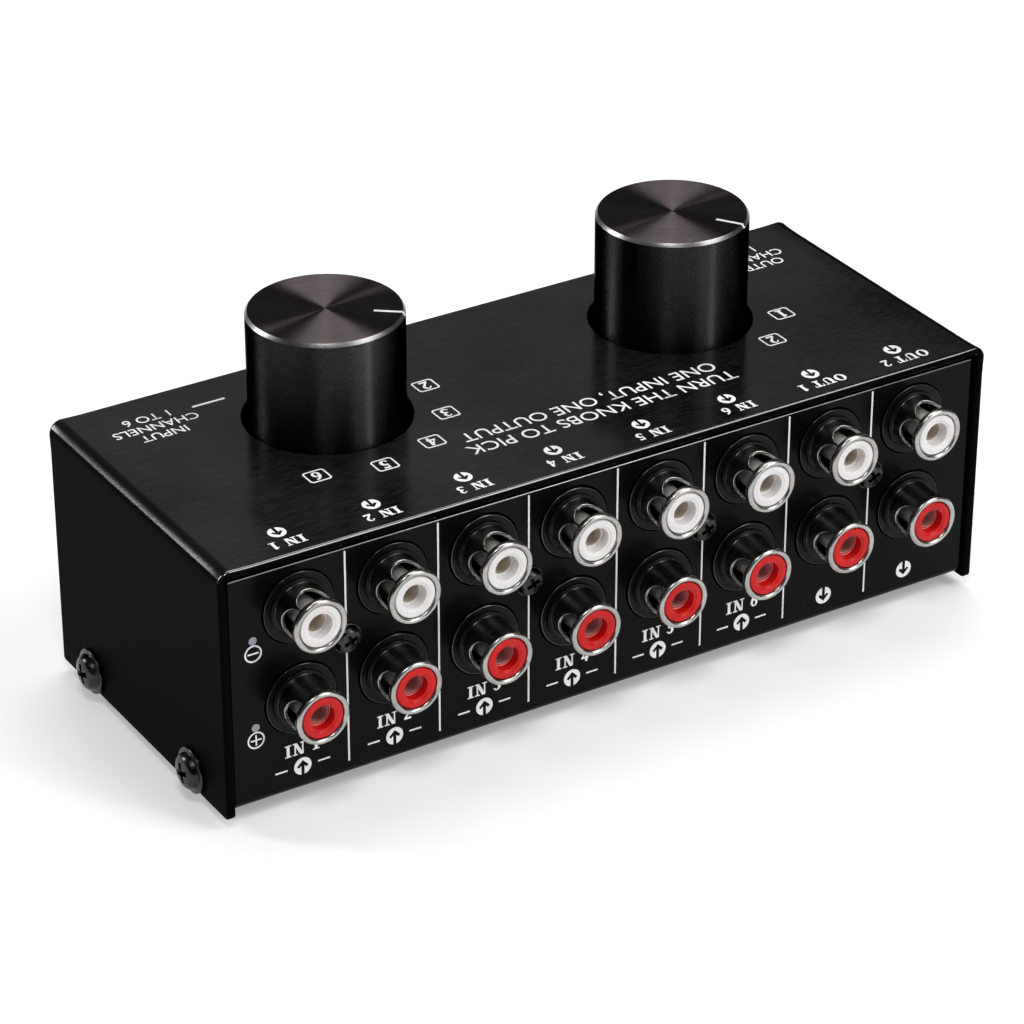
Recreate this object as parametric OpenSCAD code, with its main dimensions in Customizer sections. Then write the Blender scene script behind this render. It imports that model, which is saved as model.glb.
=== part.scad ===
// Audio source selector: a folded metal box with eight pairs of phono jacks and two rotary controls.
// Millimetres, +Z up. The jack panel faces -Y and the origin is the middle of the footprint.

/* [Case] */
// Width of the cover
case_w = 140; // [136:1:180]
// Depth of the cover
case_d = 56; // [54:1:80]
// Height of the cover, from its side edges to its top
case_h = 43; // [41:0.5:55]
// Thickness of the cover sheet
cover_t = 1.5; // [1:0.1:1.8]
// Outer radius of the cover's two bends
cover_bend_r = 2.2; // [2:0.1:4]
// Thickness of the chassis sheet
chassis_t = 1; // [0.8:0.1:1.2]
// Outer radius of the chassis bends
chassis_bend_r = 1.4; // [1.2:0.1:2]
// Setback of the chassis panels from the cover's edges
panel_inset = 0.9; // [0.5:0.1:2]
// Gap between the top of a chassis panel and the cover
panel_top_gap = 0.7; // [0.3:0.1:1.5]
// Height of the chassis underside above the cover's side edges
chassis_rise = 0.8; // [0.4:0.1:1]
// Height of the chassis side flanges
flange_h = 7; // [6.5:0.5:8]
// Gap between the chassis and the cover's sides
side_gap = 0.3; // [0.1:0.05:0.6]

/* [Feet] */
// Radius of a foot where it is glued on
foot_r = 4.5; // [3:0.5:6]
// Radius of a foot where it stands
foot_tip_r = 4; // [2.5:0.5:5]
// Drop of the feet below the cover's side edges
foot_drop = 2; // [1.5:0.5:6]
// Inset of a foot's centre from the edges of the chassis
foot_inset = 12.5; // [11:0.5:16]

/* [Jacks] */
// Distance of the outer columns of jacks from the ends of the panel
jack_side_margin = 11.7; // [9:0.1:13]
// Depth of the upper row's centres below the top of the cover
jack_top_margin = 9.75; // [9.5:0.05:11]
// Height of the lower row above the middle between the upper row and the floor
lower_row_lift = 0.3; // [-0.5:0.1:1]
// Reach of a jack beyond the panel
jack_reach = 7.2; // [6:0.1:10]
// Radius of a jack's hole in the panel
panel_hole_r = 6.1; // [5.9:0.1:6.6]
// Radius of the moulded collar that fills that hole
collar_r = 5.6; // [5.3:0.1:5.8]
// Height of the collar above the panel
collar_proud = 0.3; // [0:0.1:0.6]
// Radius of the shell's base flange
shell_base_r = 5; // [4.6:0.1:5.2]
// Radius of the shell's barrel
shell_r = 3.95; // [3.9:0.05:4.1]
// Radius of the shell's rolled rim
rim_r = 4.3; // [4.2:0.05:4.6]
// Length of the rolled rim
rim_l = 1.3; // [0.9:0.1:1.8]
// Wall of the shell
shell_t = 0.35; // [0.25:0.05:0.4]
// Width of a slot in the shell
slot_w = 3.4; // [2:0.1:3.8]
// Length of a slot in the shell, from the rim back
slot_l = 3.2; // [2:0.1:3.6]
// First slot's angle on the upper and lower rows
slot_start = [110, 200];
// Setback of the coloured insert from the rim
insert_recess = 0.25; // [0.1:0.05:0.5]
// Radius of the insert's hole for the plug's centre pin
pin_bore_r = 1.7; // [1.65:0.05:1.9]
// Radius of that hole's mouth
pin_mouth_r = 2.15; // [2:0.05:2.4]
// Depth of the tapered mouth
pin_mouth_l = 0.6; // [0.3:0.1:1]
// Depth of the insert's seat behind the panel's outer face
insert_seat = 5; // [4:0.5:7]
// Outer radius of a spring contact
contact_r = 2.5; // [2.3:0.1:2.8]
// Depth of a jack block behind the panel
block_d = 11; // [10:0.5:14]
// Distance from a jack's centre to the top or bottom of its block
block_margin = 7.2; // [6.5:0.1:7.4]
// Gap between two jack blocks
block_gap = 1; // [0.4:0.1:2]

/* [Controls] */
// Distance of the input control from the cover's side on the left
input_inset = 38.4; // [32:0.1:44]
// Distance of the output control from the cover's side on the right
output_inset = 37.3; // [32:0.1:44]
// Distance of both controls behind the middle of the case
control_back = 7.6; // [4:0.1:9]
// Radius of a knob
knob_r = 12.5; // [9:0.5:13]
// Height of a knob
knob_h = 22; // [18:0.5:26]
// Height of the input knob's top above the cover
input_rise = 18.4; // [14:0.1:20]
// Height of the output knob's top above the cover
output_rise = 19; // [14:0.1:20]
// Bevel round the top of a knob
knob_bevel = 0.5; // [0.2:0.1:1]
// Gap between a knob and the edge of its hole in the cover
knob_gap = 0.9; // [0.4:0.1:2]
// Hollow in the underside of a knob: radius
knob_hollow_r = 8.5; // [6:0.5:8.5]
// Hollow in the underside of a knob: depth
knob_hollow_h = 3; // [1:0.5:4]
// Start of the pointer groove from the knob's middle
pointer_start = 7.6; // [4:0.1:8]
// Width of the pointer groove
pointer_w = 0.7; // [0.4:0.1:1.2]
// Depth of the pointer groove
pointer_depth = 0.15; // [0.1:0.05:0.3]
// Direction of the input pointer as shown, from +X
input_pointer = -37; // [-120:1:30]
// Direction of the output pointer as shown, from +X
output_pointer = -60; // [-60:1:-30]

/* [Switches] */
// Width of a switch
switch_w = 24; // [22:0.5:26]
// Height of a switch's moulded base
switch_base_h = 9; // [8:0.5:11]
// Height of a switch's metal frame
switch_frame_h = 6; // [4:0.5:8]
// Radius of the bushing
bushing_r = 4.5; // [4:0.5:5]
// Height of the bushing
bushing_h = 7; // [4:0.5:8]
// Radius of the shaft
shaft_r = 3; // [2.5:0.1:3.2]
// Distance of the shaft's flat from its axis
shaft_flat = 2.4; // [1.8:0.1:2.4]
// Depth of the shaft in the knob, from the knob's hollow
shaft_grip = 13; // [11:0.5:14]
// Radius of the rotor that carries the wipers
rotor_r = 8.8; // [7:0.1:9]
// Height of the rotor
rotor_h = 5; // [3:0.5:6]
// Number of terminals on the input switch
input_pins = 14; // [8:1:16]
// Number of terminals on the output switch
output_pins = 6; // [4:1:10]
// Radius of a terminal
pin_r = 0.45; // [0.3:0.05:0.6]

/* [Board] */
// Thickness of the circuit board
board_t = 1.6; // [1:0.1:2]
// Gap between the board and the chassis walls
board_gap = 0.8; // [0.4:0.1:1.5]
// Inset of the board's fixings from its edges
board_inset = 5; // [4:0.5:8]
// Radius of a standoff
standoff_r = 2.75; // [2.5:0.25:3.5]

/* [Screws] */
// Radius of the shank of the cover and board screws
screw_r = 1.45; // [1.2:0.05:1.5]
// Length of the cover screws under the head
cover_screw_l = 6; // [5:0.5:9]
// Height of the cover screws above the cover's side edges
cover_screw_z = 3.4; // [3.3:0.1:3.8]
// Distance of a cover screw from the middle of the side
cover_screw_y = 16.9; // [10:0.1:19]
// Radius of a cover screw's flanged head
cover_head_r = 3.8; // [3:0.1:4]
// Radius of a jack block screw's shank
block_screw_r = 1.2; // [1:0.05:1.3]
// Radius of a jack block screw's head
block_head_r = 2.5; // [2:0.1:2.8]
// Length of a jack block screw under the head
block_screw_l = 8; // [5:0.5:9]
// Radius of a board screw's head
board_head_r = 2.7; // [2.3:0.1:2.8]
// Length of a board screw under the head
board_screw_l = 5; // [4:0.5:6]
// Radius of the set screw in a knob
set_screw_r = 1.5; // [1:0.1:1.6]
// Height of the set screw above the knob's underside
set_screw_z = 7; // [5:0.5:9]

/* [Fits] */
// Radial clearance of fixed pieces in their holes
fit = 0.05; // [0.03:0.01:0.1]
// Radial clearance of a screw in a free hole
free_fit = 0.2; // [0.1:0.05:0.3]
// Radial clearance of the turning shaft in its bushing
shaft_fit = 0.05; // [0.02:0.01:0.1]
// Clearance round the rotor inside its switch
rotor_gap = 0.4; // [0.3:0.1:0.6]

/* [Hidden] */
$fn = 64;
cut = 1;
sources = ["in_1", "in_2", "in_3", "in_4", "in_5", "in_6", "out_1", "out_2"];
channels = ["white", "red"];
columns = len(sources);
blocks = columns / 2;

// Heights
edge_z = foot_drop;
cover_top_z = edge_z + case_h;
floor_z = edge_z + chassis_rise;
floor_top_z = floor_z + chassis_t;
panel_top_z = cover_top_z - cover_t - panel_top_gap;
upper_row_z = cover_top_z - jack_top_margin;
lower_row_z = (upper_row_z + floor_z) / 2 + lower_row_lift;
row_z = [upper_row_z, lower_row_z];
block_mid_z = (upper_row_z + lower_row_z) / 2;
block_h = upper_row_z - lower_row_z + 2 * block_margin;
board_top_z = lower_row_z - block_margin;
board_z = board_top_z - board_t;
screw_z = edge_z + cover_screw_z;

// Depths: the jacks stand out in front, so the case sits half that far back
jack_overhang = jack_reach - panel_inset;
case_y = jack_overhang / 2;
panel_y = case_y - case_d / 2 + panel_inset;
panel_back_y = panel_y + chassis_t;
collar_y = panel_y - collar_proud;
jack_front_y = panel_y - jack_reach;
block_back_y = panel_back_y + block_d;
control_y = case_y + control_back;

// Widths
chassis_w = case_w - 2 * (cover_t + side_gap);
chassis_d = case_d - 2 * panel_inset;
board_w = chassis_w - 2 * (chassis_t + board_gap);
board_d = chassis_d - 2 * (chassis_t + board_gap);
jack_pitch_x = (chassis_w - 2 * jack_side_margin) / (columns - 1);
block_w = 2 * jack_pitch_x - block_gap;
input_x = input_inset - case_w / 2;
output_x = case_w / 2 - output_inset;

// Jack details
shell_fit = 0.1;
insert_r = shell_r - shell_t - shell_fit;
insert_front_y = jack_front_y + insert_recess;
insert_back_y = panel_y + insert_seat;
flare_l = 1;
flare_r = 0.25;
flare_run = 0.6;
tail_t = 0.4;
tail_w = 1.6;
tail_shift = contact_r + tail_w;
tail_drop = 1.5;
tail_room = 0.25;

// Switch details
base_floor = 1.5;
cavity_r = rotor_r + rotor_gap;
frame_z = board_top_z + switch_base_h;
bushing_z = frame_z + switch_frame_h;
rotor_z = board_top_z + base_floor + rotor_gap;
pin_circle_r = (cavity_r + switch_w / 2) / 2;
pin_depth = 3;
pin_drop = 2;
hole_r = knob_r + knob_gap;

// Fixings
tail_clear = 2.5;
standoff_y = [block_back_y + tail_t + tail_clear + standoff_r, case_y + board_d / 2 - board_inset];
standoff_x = board_w / 2 - board_inset;
thread_run_out = 0.5;
cover_flange_w = 0.7;
cover_flange_h = 0.6;
cover_dome_h = 1.5;
pan_flange_w = 0.2;
pan_flange_h = 0.3;
pan_dome_h = 1.3;
cross_w = 0.8;
cross_reach = 0.6;
cross_floor = 0.35;

function column_x(i) = (i - (columns - 1) / 2) * jack_pitch_x;
function block_x(b) = (column_x(2 * b) + column_x(2 * b + 1)) / 2;
function jack_name(i, row) = str(sources[i], "_", channels[row]);
function knob_base_z(rise) = cover_top_z + rise - knob_h;
function shaft_top_z(rise) = knob_base_z(rise) + knob_hollow_h + shaft_grip;

// Rectangle standing on the x axis with its two upper corners rounded
module arch_2d(w, h, r) {
    translate([-w / 2, 0]) square([w, h - r]);
    translate([-w / 2 + r, 0]) square([w - 2 * r, h]);
    for (side = [-1, 1])
        translate([side * (w / 2 - r), h - r]) circle(r);
}

// Screw along Z: the head stands above zero and the shank hangs below it
module screw(shank_r, shank_l, head_r, flange_w, flange_h, dome_h) {
    dome_r = head_r - flange_w;
    reach = dome_r * cross_reach;
    difference() {
        union() {
            translate([0, 0, -shank_l]) cylinder(r = shank_r, h = shank_l);
            cylinder(r = head_r, h = flange_h);
            translate([0, 0, flange_h]) dome(dome_r, dome_h);
        }
        for (turn = [0, 90])
            rotate(turn)
                translate([-reach, -cross_w / 2, flange_h + dome_h * cross_floor])
                    cube([2 * reach, cross_w, dome_h]);
    }
}

// Spherical cap with a flat underside
module dome(r, h) {
    ball_r = (r * r + h * h) / (2 * h);
    rotate_extrude()
        intersection() {
            square([r, h]);
            translate([0, h - ball_r]) circle(ball_r);
        }
}

// Turns a shape drawn along Z so that it points out of the jack panel
module facing_out(x, y, z) {
    translate([x, y, z]) rotate([90, 0, 0]) children();
}

module at_jacks() {
    for (i = [0:columns - 1])
        for (row = [0:1])
            translate([column_x(i), 0, row_z[row]]) children();
}

module at_cover_screws() {
    for (side = [-1, 1])
        for (end = [-1, 1])
            translate([side * case_w / 2, case_y + end * cover_screw_y, screw_z])
                rotate([0, side * 90, 0]) children();
}

module at_standoffs() {
    for (side = [-1, 1])
        for (y = standoff_y)
            translate([side * standoff_x, y, 0]) children();
}

module top_cover() {
    color("#1a1a1c")
    difference() {
        translate([0, case_y, edge_z])
            rotate([90, 0, 0])
                linear_extrude(case_d, center = true)
                    difference() {
                        arch_2d(case_w, case_h, cover_bend_r);
                        translate([0, -cut])
                            arch_2d(case_w - 2 * cover_t, case_h - cover_t + cut, cover_bend_r - cover_t);
                    }
        for (x = [input_x, output_x])
            translate([x, control_y, cover_top_z - cover_t - cut])
                cylinder(r = hole_r, h = cover_t + 2 * cut);
        at_cover_screws()
            translate([0, 0, -cover_t - side_gap / 2])
                cylinder(r = screw_r + free_fit, h = cover_t + cut);
    }
}

module chassis() {
    wall_h = panel_top_z - floor_z;
    color("#161617")
    difference() {
        union() {
            // Floor and the two upright panels, folded from one strip
            translate([0, case_y, panel_top_z])
                rotate([0, 90, 0]) rotate(-90)
                    linear_extrude(chassis_w, center = true)
                        difference() {
                            arch_2d(chassis_d, wall_h, chassis_bend_r);
                            translate([0, -cut])
                                arch_2d(chassis_d - 2 * chassis_t, wall_h - chassis_t + cut,
                                        chassis_bend_r - chassis_t);
                        }
            // Flanges at both ends, which the cover screws hold
            for (side = [-1, 1])
                translate([side * (chassis_w - chassis_t) / 2, case_y, floor_z + flange_h / 2])
                    cube([chassis_t, chassis_d - 2 * chassis_bend_r, flange_h], center = true);
        }
        at_jacks()
            facing_out(0, panel_back_y + cut, 0)
                cylinder(r = panel_hole_r, h = chassis_t + 2 * cut);
        for (b = [0:blocks - 1])
            facing_out(block_x(b), panel_back_y + cut, block_mid_z)
                cylinder(r = block_screw_r + free_fit, h = chassis_t + 2 * cut);
        at_cover_screws()
            translate([0, 0, -cover_t - side_gap - chassis_t - cut])
                cylinder(r = screw_r + fit, h = chassis_t + 2 * cut);
        at_standoffs()
            translate([0, 0, floor_z - cut])
                cylinder(r = screw_r + 2 * fit, h = chassis_t + 2 * cut);
    }
}

module cover_screws() {
    color("#0e0e0f")
    at_cover_screws()
        screw(screw_r, cover_screw_l, cover_head_r, cover_flange_w, cover_flange_h, cover_dome_h);
}

module rubber_feet() {
    color("#222222")
    for (side = [-1, 1])
        for (end = [-1, 1])
            translate([side * (chassis_w / 2 - foot_inset), case_y + end * (chassis_d / 2 - foot_inset), 0])
                cylinder(r1 = foot_tip_r, r2 = foot_r, h = floor_z);
}

module circuit_board() {
    color("#1f5a33")
    difference() {
        translate([-board_w / 2, case_y - board_d / 2, board_z])
            cube([board_w, board_d, board_t]);
        at_standoffs()
            translate([0, 0, board_z - cut])
                cylinder(r = screw_r + free_fit, h = board_t + 2 * cut);
        for (i = [0:columns - 1])
            for (row = [0:1])
                translate([column_x(i) + tail_x(row) - tail_w / 2 - tail_room,
                           block_back_y - tail_room, board_z - cut])
                    cube([tail_w + 2 * tail_room, tail_t + 2 * tail_room, board_t + 2 * cut]);
        at_pins(input_x, input_pins)
            translate([0, 0, board_z - cut]) cylinder(r = pin_r + free_fit, h = board_t + 2 * cut);
        at_pins(output_x, output_pins)
            translate([0, 0, board_z - cut]) cylinder(r = pin_r + free_fit, h = board_t + 2 * cut);
    }
}

module board_standoffs() {
    color("#c9b27a")
    at_standoffs()
        difference() {
            union() {
                translate([0, 0, floor_top_z]) cylinder(r = standoff_r, h = board_z - floor_top_z);
                translate([0, 0, floor_z]) cylinder(r = screw_r + fit, h = chassis_t + cut);
            }
            translate([0, 0, board_top_z - board_screw_l - thread_run_out])
                cylinder(r = screw_r + fit / 2, h = board_screw_l + thread_run_out);
        }
}

module board_screws() {
    color("#b9bcc0")
    at_standoffs()
        translate([0, 0, board_top_z])
            screw(screw_r, board_screw_l, board_head_r, pan_flange_w, pan_flange_h, pan_dome_h);
}

// Moulded block that carries two columns of jacks
module jack_block(b) {
    color("#121212")
    difference() {
        union() {
            translate([block_x(b) - block_w / 2, panel_back_y, board_top_z])
                cube([block_w, block_d, block_h]);
            for (i = [2 * b, 2 * b + 1])
                for (row = [0:1])
                    facing_out(column_x(i), panel_back_y + cut, row_z[row])
                        cylinder(r = collar_r, h = panel_back_y + cut - collar_y);
        }
        for (i = [2 * b, 2 * b + 1])
            for (row = [0:1]) {
                facing_out(column_x(i), insert_back_y, row_z[row])
                    cylinder(r = insert_r + fit, h = insert_back_y - collar_y + cut);
                facing_out(column_x(i), block_back_y + cut, row_z[row])
                    cylinder(r = contact_r + fit, h = block_back_y + 2 * cut - insert_back_y);
            }
        facing_out(block_x(b), panel_y + block_screw_l + cut, block_mid_z)
            cylinder(r = block_screw_r + fit, h = block_screw_l + 2 * cut);
    }
}

module jack_block_screws() {
    color("#0e0e0f")
    for (b = [0:blocks - 1])
        facing_out(block_x(b), panel_y, block_mid_z)
            screw(block_screw_r, block_screw_l, block_head_r, pan_flange_w, pan_flange_h, pan_dome_h);
}

function tail_x(row) = row == 0 ? tail_shift : 0;

// Spring sleeve that grips the plug's centre pin, with a tail down to the board
module jack_contacts() {
    color("#cdb778")
    for (i = [0:columns - 1])
        for (row = [0:1])
            translate([column_x(i), 0, row_z[row]])
                difference() {
                    union() {
                        facing_out(0, block_back_y + tail_t, 0)
                            cylinder(r = contact_r, h = block_back_y + tail_t - insert_back_y);
                        translate([-tail_w / 2, block_back_y, -tail_w / 2])
                            cube([tail_x(row) + tail_w, tail_t, tail_w]);
                        translate([tail_x(row) - tail_w / 2, block_back_y, board_z - tail_drop - row_z[row]])
                            cube([tail_w, tail_t, row_z[row] - board_z + tail_drop]);
                    }
                    facing_out(0, block_back_y + tail_t + cut, 0)
                        cylinder(r = pin_bore_r, h = block_d + 2 * cut);
                }
}

// Plated outer contact: base flange, flared root, slotted barrel and rolled rim
module jack_shell(i, row) {
    length = collar_y - jack_front_y;
    inner_r = shell_r - shell_t;
    bead_r = rim_l / 2;
    color("#c8c8cc")
    facing_out(column_x(i), collar_y, row_z[row])
        difference() {
            rotate_extrude() {
                polygon([
                    [inner_r, 0], [shell_base_r, 0], [shell_base_r, shell_t],
                    [shell_r + flare_r, flare_l], [shell_r, flare_l + flare_run],
                    [shell_r, length - bead_r], [inner_r, length - bead_r]
                ]);
                intersection() {
                    translate([inner_r, length - rim_l]) square([rim_r - inner_r, rim_l]);
                    translate([rim_r - bead_r, length - bead_r]) circle(bead_r);
                }
                translate([inner_r, length - rim_l]) square([rim_r - bead_r - inner_r, rim_l]);
            }
            for (step = [0:2])
                rotate([0, 0, slot_start[row] + step * 90])
                    translate([0, 0, length - rim_l - slot_l + slot_w / 2])
                        rotate([0, 90, 0]) {
                            cylinder(r = slot_w / 2, h = shell_base_r + cut);
                            translate([-(slot_l - slot_w / 2), -slot_w / 2, 0])
                                cube([slot_l - slot_w / 2, slot_w, shell_base_r + cut]);
                        }
        }
}

// Coloured insulator with the hole for the plug's centre pin
module jack_insert(i, row) {
    length = insert_back_y - insert_front_y;
    color(row == 0 ? "#f0efec" : "#c81a1e")
    facing_out(column_x(i), insert_back_y, row_z[row])
        difference() {
            cylinder(r = insert_r, h = length);
            translate([0, 0, -cut]) cylinder(r = pin_bore_r, h = length + 2 * cut);
            translate([0, 0, length - pin_mouth_l])
                cylinder(r1 = pin_bore_r, r2 = pin_mouth_r, h = pin_mouth_l);
        }
}

module at_pins(x, count) {
    for (k = [0:count - 1])
        translate([x, control_y, 0])
            rotate(360 * (k + 0.5) / count)
                translate([pin_circle_r, 0, 0]) children();
}

module switch_base(x, count) {
    color("#3a2c22")
    difference() {
        translate([x - switch_w / 2, control_y - switch_w / 2, board_top_z])
            cube([switch_w, switch_w, switch_base_h]);
        translate([x, control_y, board_top_z + base_floor])
            cylinder(r = cavity_r, h = switch_base_h);
        at_pins(x, count)
            translate([0, 0, board_top_z - cut]) cylinder(r = pin_r + fit, h = pin_depth + cut);
    }
}

module switch_frame(x) {
    color("#a9acb0")
    difference() {
        union() {
            translate([x - switch_w / 2, control_y - switch_w / 2, frame_z])
                cube([switch_w, switch_w, switch_frame_h]);
            translate([x, control_y, frame_z])
                cylinder(r = bushing_r, h = switch_frame_h + bushing_h);
        }
        translate([x, control_y, frame_z - cut])
            cylinder(r = shaft_r + shaft_fit, h = switch_frame_h + bushing_h + 2 * cut);
    }
}

module switch_pins(x, count) {
    color("#cfd2d6")
    at_pins(x, count)
        translate([0, 0, board_z - pin_drop])
            cylinder(r = pin_r, h = pin_drop + board_t + pin_depth);
}

module rotor(x) {
    color("#d8d2c4")
    translate([x, control_y, rotor_z])
        difference() {
            cylinder(r = rotor_r, h = rotor_h);
            translate([0, 0, -cut]) cylinder(r = shaft_r + fit / 2, h = rotor_h + 2 * cut);
        }
}

module shaft(x, rise, pointer) {
    top_z = shaft_top_z(rise);
    flat_z = knob_base_z(rise);
    color("#c4c7cb")
    translate([x, control_y, 0])
        rotate(pointer)
            difference() {
                translate([0, 0, rotor_z]) cylinder(r = shaft_r, h = top_z - rotor_z);
                translate([-shaft_flat - shaft_r, -shaft_r, flat_z])
                    cube([shaft_r, 2 * shaft_r, top_z - flat_z + cut]);
            }
}

module knob(x, rise, pointer) {
    color("#1c1c1e")
    translate([x, control_y, knob_base_z(rise)])
        rotate(pointer)
            difference() {
                rotate_extrude()
                    polygon([
                        [0, 0], [knob_r, 0], [knob_r, knob_h - knob_bevel],
                        [knob_r - knob_bevel, knob_h], [0, knob_h]
                    ]);
                translate([0, 0, -cut]) cylinder(r = knob_hollow_r, h = knob_hollow_h + cut);
                cylinder(r = shaft_r + fit, h = knob_hollow_h + shaft_grip + fit);
                translate([0, 0, set_screw_z])
                    rotate([0, -90, 0]) cylinder(r = set_screw_r + fit, h = knob_r + cut);
                translate([pointer_start, -pointer_w / 2, knob_h - pointer_depth])
                    cube([knob_r, pointer_w, pointer_depth + cut]);
            }
}

module set_screw(x, rise, pointer) {
    sink = 1.5;
    length = knob_r - sink - shaft_flat;
    color("#2a2a2c")
    translate([x, control_y, knob_base_z(rise) + set_screw_z])
        rotate(pointer)
            rotate([0, -90, 0])
                translate([0, 0, shaft_flat])
                    difference() {
                        cylinder(r = set_screw_r, h = length);
                        translate([0, 0, length - sink])
                            cylinder(r = set_screw_r / 2, h = sink + cut, $fn = 6);
                    }
}

top_cover();
chassis();
cover_screws();
rubber_feet();
circuit_board();
board_standoffs();
board_screws();
for (b = [1:blocks])
    jack_block(b - 1);
jack_block_screws();
jack_contacts();
for (i = [0:columns - 1])
    for (row = [0:1])
        jack_shell(i, row);
for (i = [0:columns - 1])
    for (row = [0:1])
        jack_insert(i, row);
switch_base(input_x, input_pins);  // input_switch_base
switch_frame(input_x);  // input_switch_frame
switch_pins(input_x, input_pins);  // input_switch_pins
rotor(input_x);  // input_rotor
shaft(input_x, input_rise, input_pointer);  // input_shaft
knob(input_x, input_rise, input_pointer);  // input_knob
set_screw(input_x, input_rise, input_pointer);  // input_set_screw
switch_base(output_x, output_pins);  // output_switch_base
switch_frame(output_x);  // output_switch_frame
switch_pins(output_x, output_pins);  // output_switch_pins
rotor(output_x);  // output_rotor
shaft(output_x, output_rise, output_pointer);  // output_shaft
knob(output_x, output_rise, output_pointer);  // output_knob
set_screw(output_x, output_rise, output_pointer);  // output_set_screw
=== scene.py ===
import math

import bmesh
import bpy
from mathutils import Matrix, Vector
from mathutils.geometry import delaunay_2d_cdt


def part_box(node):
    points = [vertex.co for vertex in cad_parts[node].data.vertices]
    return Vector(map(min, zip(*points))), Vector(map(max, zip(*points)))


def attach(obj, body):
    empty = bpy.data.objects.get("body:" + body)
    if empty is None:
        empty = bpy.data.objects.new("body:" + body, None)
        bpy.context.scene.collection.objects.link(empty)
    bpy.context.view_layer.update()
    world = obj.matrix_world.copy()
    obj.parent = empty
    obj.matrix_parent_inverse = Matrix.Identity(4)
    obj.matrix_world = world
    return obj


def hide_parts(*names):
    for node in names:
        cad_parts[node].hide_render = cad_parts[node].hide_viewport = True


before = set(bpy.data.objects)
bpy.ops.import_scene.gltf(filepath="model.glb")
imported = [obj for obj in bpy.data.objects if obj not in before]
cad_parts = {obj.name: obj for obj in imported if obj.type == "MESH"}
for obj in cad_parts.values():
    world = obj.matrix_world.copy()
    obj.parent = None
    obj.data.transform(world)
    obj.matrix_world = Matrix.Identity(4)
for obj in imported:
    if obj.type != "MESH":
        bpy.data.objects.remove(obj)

scene = bpy.context.scene
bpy.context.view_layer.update()  # the CAD box, before any piece is added
perMetre = 1000  # shapes are modelled in millimetres and kept in metres
creaseAngle = 32  # edges sharper than this stay crisp, in degrees


def nodeBox(node):
    low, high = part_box(node)
    return low * perMetre, high * perMetre


def linear(hexColour):
    parts = [int(hexColour[i:i + 2], 16) / 255 for i in (1, 3, 5)]
    return [c / 12.92 if c <= 0.04045 else ((c + 0.055) / 1.055) ** 2.4 for c in parts] + [1.0]


def addNode(tree, kind, inputs=None, **settings):
    node = tree.nodes.new(kind)
    for setting, value in settings.items():
        setattr(node, setting, value)
    for socket, value in (inputs or {}).items():
        if isinstance(value, bpy.types.NodeSocket):
            tree.links.new(value, node.inputs[socket])
        else:
            node.inputs[socket].default_value = value
    return node


# Camera, floor and studio light
view = {
    "aim": (-2.5, 2.99, 22.42),  # millimetres
    "azimuth": -31.73,
    "elevation": 29.38,
    "distance": 658.6,
    "lens": 143.9,
}


def setCamera():
    azimuth, elevation = math.radians(view["azimuth"]), math.radians(view["elevation"])
    back = Vector((math.sin(azimuth) * math.cos(elevation),
                   -math.cos(azimuth) * math.cos(elevation),
                   math.sin(elevation)))
    camera = bpy.data.objects.new("studioCamera", bpy.data.cameras.new("studioCamera"))
    camera.data.lens = view["lens"]
    camera.data.sensor_width = 36
    camera.location = (Vector(view["aim"]) + back * view["distance"]) / perMetre
    camera.rotation_euler = back.to_track_quat("Z", "Y").to_euler()
    scene.collection.objects.link(camera)
    scene.camera = camera


studio = {
    "floorColour": "#f2f2f2",
    "floorSize": 6.0,  # metres
    "floorLift": 0.25,
    "worldColour": "#f4f5f7",
    "worldStrength": 0.05,
    "boxes": {  # place and size in metres, power in watts
        "frontRight": {"place": (0.42, -0.5, 0.755), "size": (0.5, 0.5), "power": 4.0},
        "topLeft": {"place": (-0.3, -0.42, 0.88), "size": (0.26, 0.26), "power": 2.4},
        "frontStrip": {"place": (0.5, -0.9, 0.2), "size": (0.1, 0.6), "power": 2.0},
        "frontFill": {"place": (0.4, -1.0, 0.45), "size": (0.6, 0.6), "power": 1.9},
        "backLeft": {"place": (-0.72, 0.66, 0.45), "size": (0.2, 0.5), "power": 4.8},
        "overhead": {"place": (0.185, 0.3, 0.968), "size": (0.54, 0.55), "power": 4.0},
        "backSweep": {"place": (0.507, 1.018, 0.64), "size": (0.5, 0.4), "power": 0.085},
    },
}


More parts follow.
